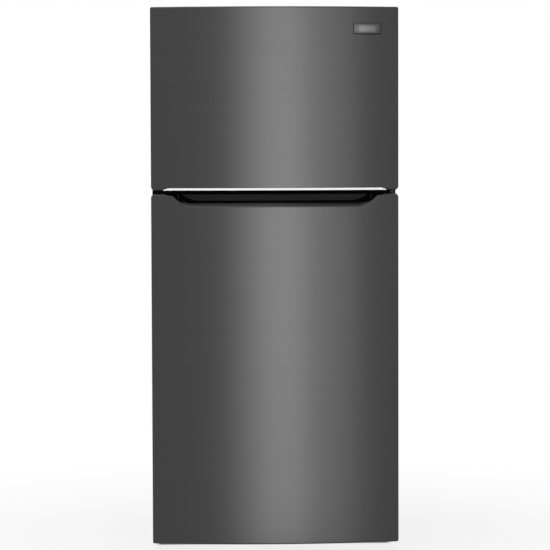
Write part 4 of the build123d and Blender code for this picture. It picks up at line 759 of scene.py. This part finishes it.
def dialKnob(spec):
    # Rings run out over the crowned face, round the scalloped rim and back to the shaft;
    # the ridge lifts the face where it lies close to the upright middle line
    low, high = boxCorners("temperature_dial")
    middle = (low + high) / 2
    turn = np.linspace(0.0, 2 * math.pi, spec["spokes"], endpoint=False)[None, :]
    inner = np.linspace(0.0, 1.0, spec["rings"])[:, None]
    bend = np.linspace(0.0, math.pi / 2, spec["arc"])[1:, None]
    flat, thick = spec["radius"] - spec["round"], spec["thick"]
    faceY = low[1] + spec["ridge"]
    shaftEnd = high[1] - faceY
    reach = np.concatenate([
        flat * inner, flat + spec["round"] * np.sin(bend),
        [[spec["radius"]], [spec["shaft"]], [spec["shaft"]], [0.0]]])
    sink = np.concatenate([
        0 * inner, spec["round"] * (1 - np.cos(bend)), [[thick], [thick], [shaftEnd], [shaftEnd]]])
    onFace = sink <= 0
    rimShare = smoothStep(spec["scallopFrom"] * spec["radius"], spec["radius"], reach) * (sink <= thick)
    reach = reach - spec["scallop"] * rimShare * (1 - np.cos(spec["scallops"] * turn))
    x, z = reach * np.sin(turn), reach * np.cos(turn)
    ridgeFrom, ridgeTo = spec["ridgeHalf"] + spec["ridgeFrom"], spec["ridgeHalf"] + spec["ridgeTo"]
    ridge = 1 - smoothStep(ridgeFrom, ridgeTo, np.abs(x))
    ends = 1 - smoothStep(spec["ridgeLength"] - spec["ridgeEnd"], spec["ridgeLength"], np.abs(z))
    ridge = ridge * ends * onFace
    crown = spec["crown"] * (1 - (reach / spec["radius"])**2) * onFace
    y = faceY + sink - np.maximum(spec["ridge"] * ridge, crown)
    points = np.stack([middle[0] + x, y, middle[2] + z], axis=2)
    quads = gridQuads(*x.shape, closeColumns=True)
    piece = meshPiece(
        "dialKnob", points, quads, "dial", "temperature_dial", ["temperature_dial"])
    setMark(piece, "inlay", (np.abs(x) < spec["pointerHalf"]) * (z > spec["pointerFrom"]) * ridge)
    return piece


def dialTicks(spec):
    # Each mark is a pillow, one less the fourth powers of its own length and width,
    # turned to face the dial
    low, high = boxCorners("temperature_dial")
    middle = (low + high) / 2
    front = high[1] - spec["shaftRoom"]  # the housing's face, which the dial's shaft goes through
    turn = np.linspace(-spec["sweep"], spec["sweep"], spec["count"])[:, None, None]
    span = np.linspace(-1, 1, spec["grid"])
    along, wide = np.meshgrid(span, span, indexing="ij")
    away = spec["at"] + spec["long"] / 2 * along
    aside = spec["wide"] / 2 * wide
    x = middle[0] + away * np.sin(turn) + aside * np.cos(turn)
    z = middle[2] + away * np.cos(turn) - aside * np.sin(turn)
    y = front - spec["lift"] * (1 - along**4) * (1 - wide**4) + 0 * x
    points = np.stack([x, y, z], axis=3)
    quads = repeatQuads(gridQuads(*along.shape), spec["count"], along.size)[:, ::-1]
    piece = meshPiece("dialTicks", points, quads, "greyPlastic", "cabinet", [])
    return thicken(piece, spec["backing"])


dialKnob(dial)
dialTicks(tick)
print("dial made")


# Light lens: a shallow cover with prism ribs across it

lensCover = {"columns": 241, "rows": 61, "rib": 0.006, "ribHeight": 0.0008, "round": 0.004, "gauge": 0.0014}


def prismLens(spec):
    # The cover hangs by its thickness, less a quarter round near the border;
    # a triangle wave along X makes the ribs
    low, high = boxCorners("food_light_lens")
    x, y = np.meshgrid(
        np.linspace(low[0], high[0], spec["columns"]), np.linspace(low[1], high[1], spec["rows"]))
    inside = np.minimum(np.minimum(x - low[0], high[0] - x), np.minimum(y - low[1], high[1] - y))
    edge = np.sqrt(np.clip(1 - (1 - np.clip(inside / spec["round"], 0, 1))**2, 0, 1))
    rib = np.abs((x - low[0]) / spec["rib"] % 1 - 0.5) * 2
    rib = spec["ribHeight"] * rib * smoothStep(spec["round"], 2 * spec["round"], inside)
    z = high[2] - (high[2] - low[2]) * edge + rib
    points = np.stack([x, y, z], axis=2)
    quads = gridQuads(*x.shape)[:, ::-1]
    piece = meshPiece(
        "prismLens", points, quads, "lens", "cabinet", ["food_light_lens"], smooth=False)
    return thicken(piece, spec["gauge"])


prismLens(lensCover)
print("lens made")


# Levelling legs: a threaded post on a six-sided foot

leg = {"spokes": 72, "arc": 6, "post": 0.006, "foot": 0.015, "flat": 0.0012, "footHeight": 0.009,
       "round": 0.0015, "pitch": 0.0025, "thread": 0.0006, "runIn": 0.003, "levels": 131}


def threadedLeg(name, node, spec):
    # Round the foot the radius dips six times; up the post it follows a triangle wave
    # that climbs a pitch each turn
    low, high = boxCorners(node)
    middle = (low + high) / 2
    turn = np.linspace(0.0, 2 * math.pi, spec["spokes"], endpoint=False)[None, :]
    bend = np.linspace(0.0, math.pi / 2, spec["arc"])[:, None]
    opening, closing = spec["round"] * (1 - np.cos(bend)), spec["round"] * (1 - np.sin(bend))
    footTop = spec["footHeight"]
    climb = np.linspace(footTop, high[2], spec["levels"])[:, None]
    z = np.concatenate([[[0.0]], opening, footTop - closing, climb, [[high[2]]]])
    broad = spec["foot"] - spec["flat"] * (1 - np.abs(np.cos(3 * turn)))
    wave = np.abs((climb / spec["pitch"] - turn / (2 * math.pi)) % 1 - 0.5) * 2
    post = spec["post"] - spec["thread"] * wave * smoothStep(footTop, footTop + spec["runIn"], climb)
    reach = np.concatenate([0 * turn, broad - closing, broad - opening, post, 0 * turn])
    x, y = middle[0] + reach * np.cos(turn), middle[1] + reach * np.sin(turn)
    points = np.stack([x, y, z + 0 * reach], axis=2)
    quads = gridQuads(*reach.shape, closeColumns=True)
    return meshPiece(name, points, quads, "black", node, [node])


threadedLeg("legLeft", "leg_left", leg)
threadedLeg("legRight", "leg_right", leg)
print("legs made")


# Fans: swept blades with a thin wing section on a ring hub

fan = {"steps": 25, "loop": 40, "root": 0.18, "tip": 0.33, "rootPitch": 0.74, "tipPitch": 0.44,
       "sweep": 0.38, "camber": 0.05, "thick": 0.0009, "tipThick": 0.1, "rounding": 0.06, "rootSink": 0.002,
       "bore": 0.00256, "arc": 7, "hubSpokes": 96, "hubRound": 0.003}
evaporatorWheel = {**fan, "blades": 4, "radius": 0.050, "hub": 0.013, "depth": 0.014, "axis": 1}
condenserWheel = {**fan, "blades": 5, "radius": 0.066, "hub": 0.017, "depth": 0.020, "axis": 0}


def axleMiddle(node, axis):
    # A point on the joint's axis, half way along the node
    low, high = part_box(node)
    middle = np.array(next(joint["pos_m"] for joint in frame["joints"] if joint["child"] == node))
    middle[axis] = (low[axis] + high[axis]) / 2
    return middle


def fanBlades(spec):
    # A blade's section is an ellipse along its chord, bent by a parabola; chord, pitch and sweep
    # change with the radius. Both ends close to a line
    out = np.concatenate([[0.0], np.linspace(0.0, 1.0, spec["steps"])])[None, :, None]
    loop = np.linspace(0.0, 2 * math.pi, spec["loop"], endpoint=False)[None, None, :]
    start = (np.arange(spec["blades"]) * 2 * math.pi / spec["blades"])[:, None, None]
    along = np.cos(loop)
    chord = spec["radius"] * (spec["root"] + (spec["tip"] - spec["root"]) * out)
    pitch = spec["rootPitch"] + (spec["tipPitch"] - spec["rootPitch"]) * out
    shut = np.ones(out.shape)
    shut[:, [0, -1]] = 0.0
    thick = spec["thick"] * np.sin(loop) * np.sqrt(1 + spec["tipThick"] - out**6) * shut
    root = spec["hub"] - spec["rootSink"]
    away = root + (spec["radius"] * (1 - spec["rounding"] * along**4) - root) * out
    aside = chord * np.cos(pitch) * along + thick * np.sin(pitch)
    bent = spec["camber"] * chord * (1 - along**2)
    height = -chord * np.sin(pitch) * along + thick * np.cos(pitch) + bent
    turn = start + spec["sweep"] * out**2 + aside / away
    return np.stack([away * np.cos(turn), away * np.sin(turn), height + 0 * turn], axis=3)


def fanHub(spec):
    # A rectangle with rounded outer corners, turned about the axis and open at the bore
    bend = np.linspace(0.0, math.pi / 2, spec["arc"])
    sine, cosine = spec["hubRound"] * np.sin(bend), spec["hubRound"] * np.cos(bend)
    flat, top = spec["hub"] - spec["hubRound"], spec["depth"] / 2
    level = top - spec["hubRound"]
    reach = np.concatenate([[spec["bore"]], flat + sine, flat + cosine, [spec["bore"]]])[:, None]
    tall = np.concatenate([[top], level + cosine, -level - sine, [-top]])[:, None]
    spin = np.linspace(0.0, 2 * math.pi, spec["hubSpokes"], endpoint=False)[None, :]
    return np.stack([reach * np.cos(spin), reach * np.sin(spin), tall + 0 * spin * reach], axis=2)


def fanWheel(name, node, spec):
    # Blades and hub, laid along an axis that points along X or along Y
    blades, hub = fanBlades(spec), fanHub(spec)
    wing = blades.shape[1] * blades.shape[2]
    bladeQuads = repeatQuads(gridQuads(*blades.shape[1:3], closeColumns=True), spec["blades"], wing)
    hubQuads = gridQuads(*hub.shape[:2], closeRows=True, closeColumns=True)[:, ::-1]
    points = np.concatenate([blades.reshape(-1, 3), hub.reshape(-1, 3)])
    quads = np.concatenate([bladeQuads, hubQuads + spec["blades"] * wing])
    order = [2, 0, 1]
    if spec["axis"] == 1:
        order = [0, 2, 1]  # this order mirrors the wheel, so its faces are turned round
        quads = quads[:, ::-1]
    points = axleMiddle(node, spec["axis"]) + points[:, order]
    return meshPiece(name, points, quads, "greyPlastic", node, [node])


fanWheel("evaporatorFan", "evaporator_fan", evaporatorWheel)
fanWheel("condenserFan", "condenser_fan", condenserWheel)
print("fans made")


# Rollers: a grooved tyre with rounded shoulders on a web that is sunk between rim and hub

roller = {"spokes": 96, "arc": 8, "bore": 0.00506, "hub": 0.0085, "rim": 0.0150, "sink": 0.0035,
          "round": 0.0028, "groove": 0.0009, "grooveHalf": 0.0030, "steps": 15, "crease": 0.7}


def grooveRoller(name, node, spec):
    # Half a profile from the bore out over hub, web and rim to the tyre's middle, mirrored and
    # turned about X; the tyre dips by a cosine across the groove
    low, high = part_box(node)
    half, radius = (high[0] - low[0]) / 2, (high[2] - low[2]) / 2
    bend = np.linspace(0.0, math.pi / 2, spec["arc"])
    shoulder = radius - spec["round"]
    tyre = np.linspace(half - spec["round"], 0.0, spec["steps"])[1:]
    dip = spec["groove"] / 2 * (1 + np.cos(math.pi * np.minimum(tyre / spec["grooveHalf"], 1.0)))
    reach = np.concatenate([
        [spec["bore"], spec["hub"], spec["hub"], spec["rim"], spec["rim"]],
        shoulder + spec["round"] * np.sin(bend), radius - dip])
    aside = np.concatenate([
        [half, half, half - spec["sink"], half - spec["sink"], half],
        half - spec["round"] * (1 - np.cos(bend)), tyre])
    reach = np.concatenate([reach, reach[-2::-1]])[:, None]
    aside = np.concatenate([-aside, aside[-2::-1]])[:, None]
    turn = np.linspace(0.0, 2 * math.pi, spec["spokes"], endpoint=False)[None, :]
    ring = np.stack([aside + 0 * turn, reach * np.cos(turn), reach * np.sin(turn)], axis=2)
    quads = gridQuads(*ring.shape[:2], closeRows=True, closeColumns=True)
    points = axleMiddle(node, 0) + ring.reshape(-1, 3)
    return meshPiece(name, points, quads, "black", node, [node], crease=spec["crease"])


grooveRoller("rollerLeft", "roller_left", roller)
grooveRoller("rollerRight", "roller_right", roller)
print("rollers made")


# Stage

floorSpec = {"half": 6.0, "clear": 0.7, "gone": 1.8, "albedo": 0.93, "glow": 0.82, "shadeFront": -0.19,
             "shadeRamp": 0.02}
studio = {"fill": 0.50, "backdrop": 1.0}
frontAim = (0.0, 0.0, 0.9)
softboxes = {
    "shoulderLamp": {"place": (-0.60, -9.2, 0.75), "aim": frontAim, "size": (0.8, 4.0), "radiance": 5.3},
    "stripLamp": {"place": (0.60, -9.2, 0.75), "aim": frontAim, "size": (1.6, 4.0), "radiance": 11.6},
    "sideLamp": {"place": (2.34, -9.2, 0.75), "aim": frontAim, "size": (1.4, 4.0), "radiance": 4.6},
    "topLamp": {"place": (-0.6, -0.8, 4.6), "aim": (0.0, 0.0, 0.6), "size": (3.0, 3.0), "radiance": 2.0},
}


def seenRay(tree):
    # One for rays that show the backdrop: from the camera, a gloss or a clear piece
    light = [tree.node("ShaderNodeLightPath", {}, {}, kind)
             for kind in ("Is Camera Ray", "Is Glossy Ray", "Is Transmission Ray")]
    return (light[0] + light[1] + light[2]).clip()


def floorPaper(spec):
    # White paper that glows where the backdrop is seen, but not beneath the cabinet,
    # and fades out far from the object
    material = bpy.data.materials.new("floorPaper")
    tree = NodeTree(material, "ShaderNodeOutputMaterial")
    place = tree.node("ShaderNodeTexCoord", {}, {}, "Object")
    away = tree.node("ShaderNodeVectorMath", {"operation": "LENGTH"}, {0: place}, 1)
    x, y = (tree.node("ShaderNodeSeparateXYZ", {}, {0: place}, axis) for axis in (0, 1))
    wide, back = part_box("cabinet_shell")[1][:2]
    middle, half = (back + spec["shadeFront"]) / 2, (back - spec["shadeFront"]) / 2
    beneath = ((wide - x.math("ABSOLUTE")) / spec["shadeRamp"]).clip()
    beneath = beneath * ((half - (y - middle).math("ABSOLUTE")) / spec["shadeRamp"]).clip()
    paper = tree.node("ShaderNodeBsdfDiffuse", {}, {0: grey(spec["albedo"])})
    glow = tree.node("ShaderNodeEmission", {}, {0: grey(1.0), 1: 1.0})
    lit = seenRay(tree) * spec["glow"] * (1.0 - beneath)
    lifted = tree.node("ShaderNodeMixShader", {}, {0: lit, 1: paper, 2: glow})
    gone = tree.node("ShaderNodeBsdfTransparent", {}, {0: grey(1.0)})
    fade = ((away - spec["clear"]) / (spec["gone"] - spec["clear"])).clip()
    tree.end(tree.node("ShaderNodeMixShader", {}, {0: fade, 1: lifted, 2: gone}))
    return material


def studioWorld(spec):
    # A white surround, weaker as a light than it looks as a backdrop
    world = bpy.data.worlds.new("studio")
    tree = NodeTree(world, "ShaderNodeOutputWorld")
    dim = tree.node("ShaderNodeBackground", {}, {0: grey(1.0), 1: spec["fill"]})
    plain = tree.node("ShaderNodeBackground", {}, {0: grey(1.0), 1: spec["backdrop"]})
    tree.end(tree.node("ShaderNodeMixShader", {}, {0: seenRay(tree), 1: dim, 2: plain}))
    return world


def softbox(name, place, aim, size, radiance):
    # An area lamp turned to its aim, whose power gives the named radiance
    panel = bpy.data.lights.new(name, "AREA")
    panel.shape = "RECTANGLE"
    panel.size, panel.size_y = size
    panel.energy = radiance * math.pi * size[0] * size[1]
    holder = bpy.data.objects.new(name, panel)
    scene.collection.objects.link(holder)
    towards = np.array(aim) - np.array(place)
    yaw = math.atan2(-towards[0], towards[1])
    tilt = math.atan2(towards[2], math.hypot(towards[0], towards[1]))
    holder.location = place
    holder.rotation_euler = (math.pi / 2 + tilt, 0.0, yaw)
    holder.visible_camera = False
    return holder


corner = floorSpec["half"]
floorMesh = bpy.data.meshes.new("floor")
floorMesh.from_pydata(
    [(-corner, -corner, 0), (corner, -corner, 0), (corner, corner, 0), (-corner, corner, 0)],
    [], [(0, 1, 2, 3)])
floorMesh.materials.append(floorPaper(floorSpec))
floor = bpy.data.objects.new("floor", floorMesh)
scene.collection.objects.link(floor)
scene.world = studioWorld(studio)
for name, spec in softboxes.items():
    softbox(name, **spec)
print("stage lit")


# Camera

imageSize = 550
cameraSpec = {"place": (-0.233, doorFront - 7.0, 1.249), "yaw": 1.892, "pitch": 2.915, "roll": -0.182,
              "focalPixels": 2307.0, "shiftPixels": 10.0, "sensor": 36.0, "far": 100.0}
lens = bpy.data.cameras.new("camera")
lens.sensor_width = cameraSpec["sensor"]
lens.lens = cameraSpec["focalPixels"] / imageSize * lens.sensor_width
lens.shift_y = -cameraSpec["shiftPixels"] / imageSize
lens.clip_end = cameraSpec["far"]
camera = bpy.data.objects.new("camera", lens)
scene.collection.objects.link(camera)
yaw, pitch, roll = (math.radians(cameraSpec[angle]) for angle in ("yaw", "pitch", "roll"))
camera.matrix_world = (
    Matrix.Translation(cameraSpec["place"]) @ Matrix.Rotation(-yaw, 4, "Z")
    @ Matrix.Rotation(math.pi / 2 - pitch, 4, "X") @ Matrix.Rotation(roll, 4, "Z"))
scene.camera = camera
print("camera set")
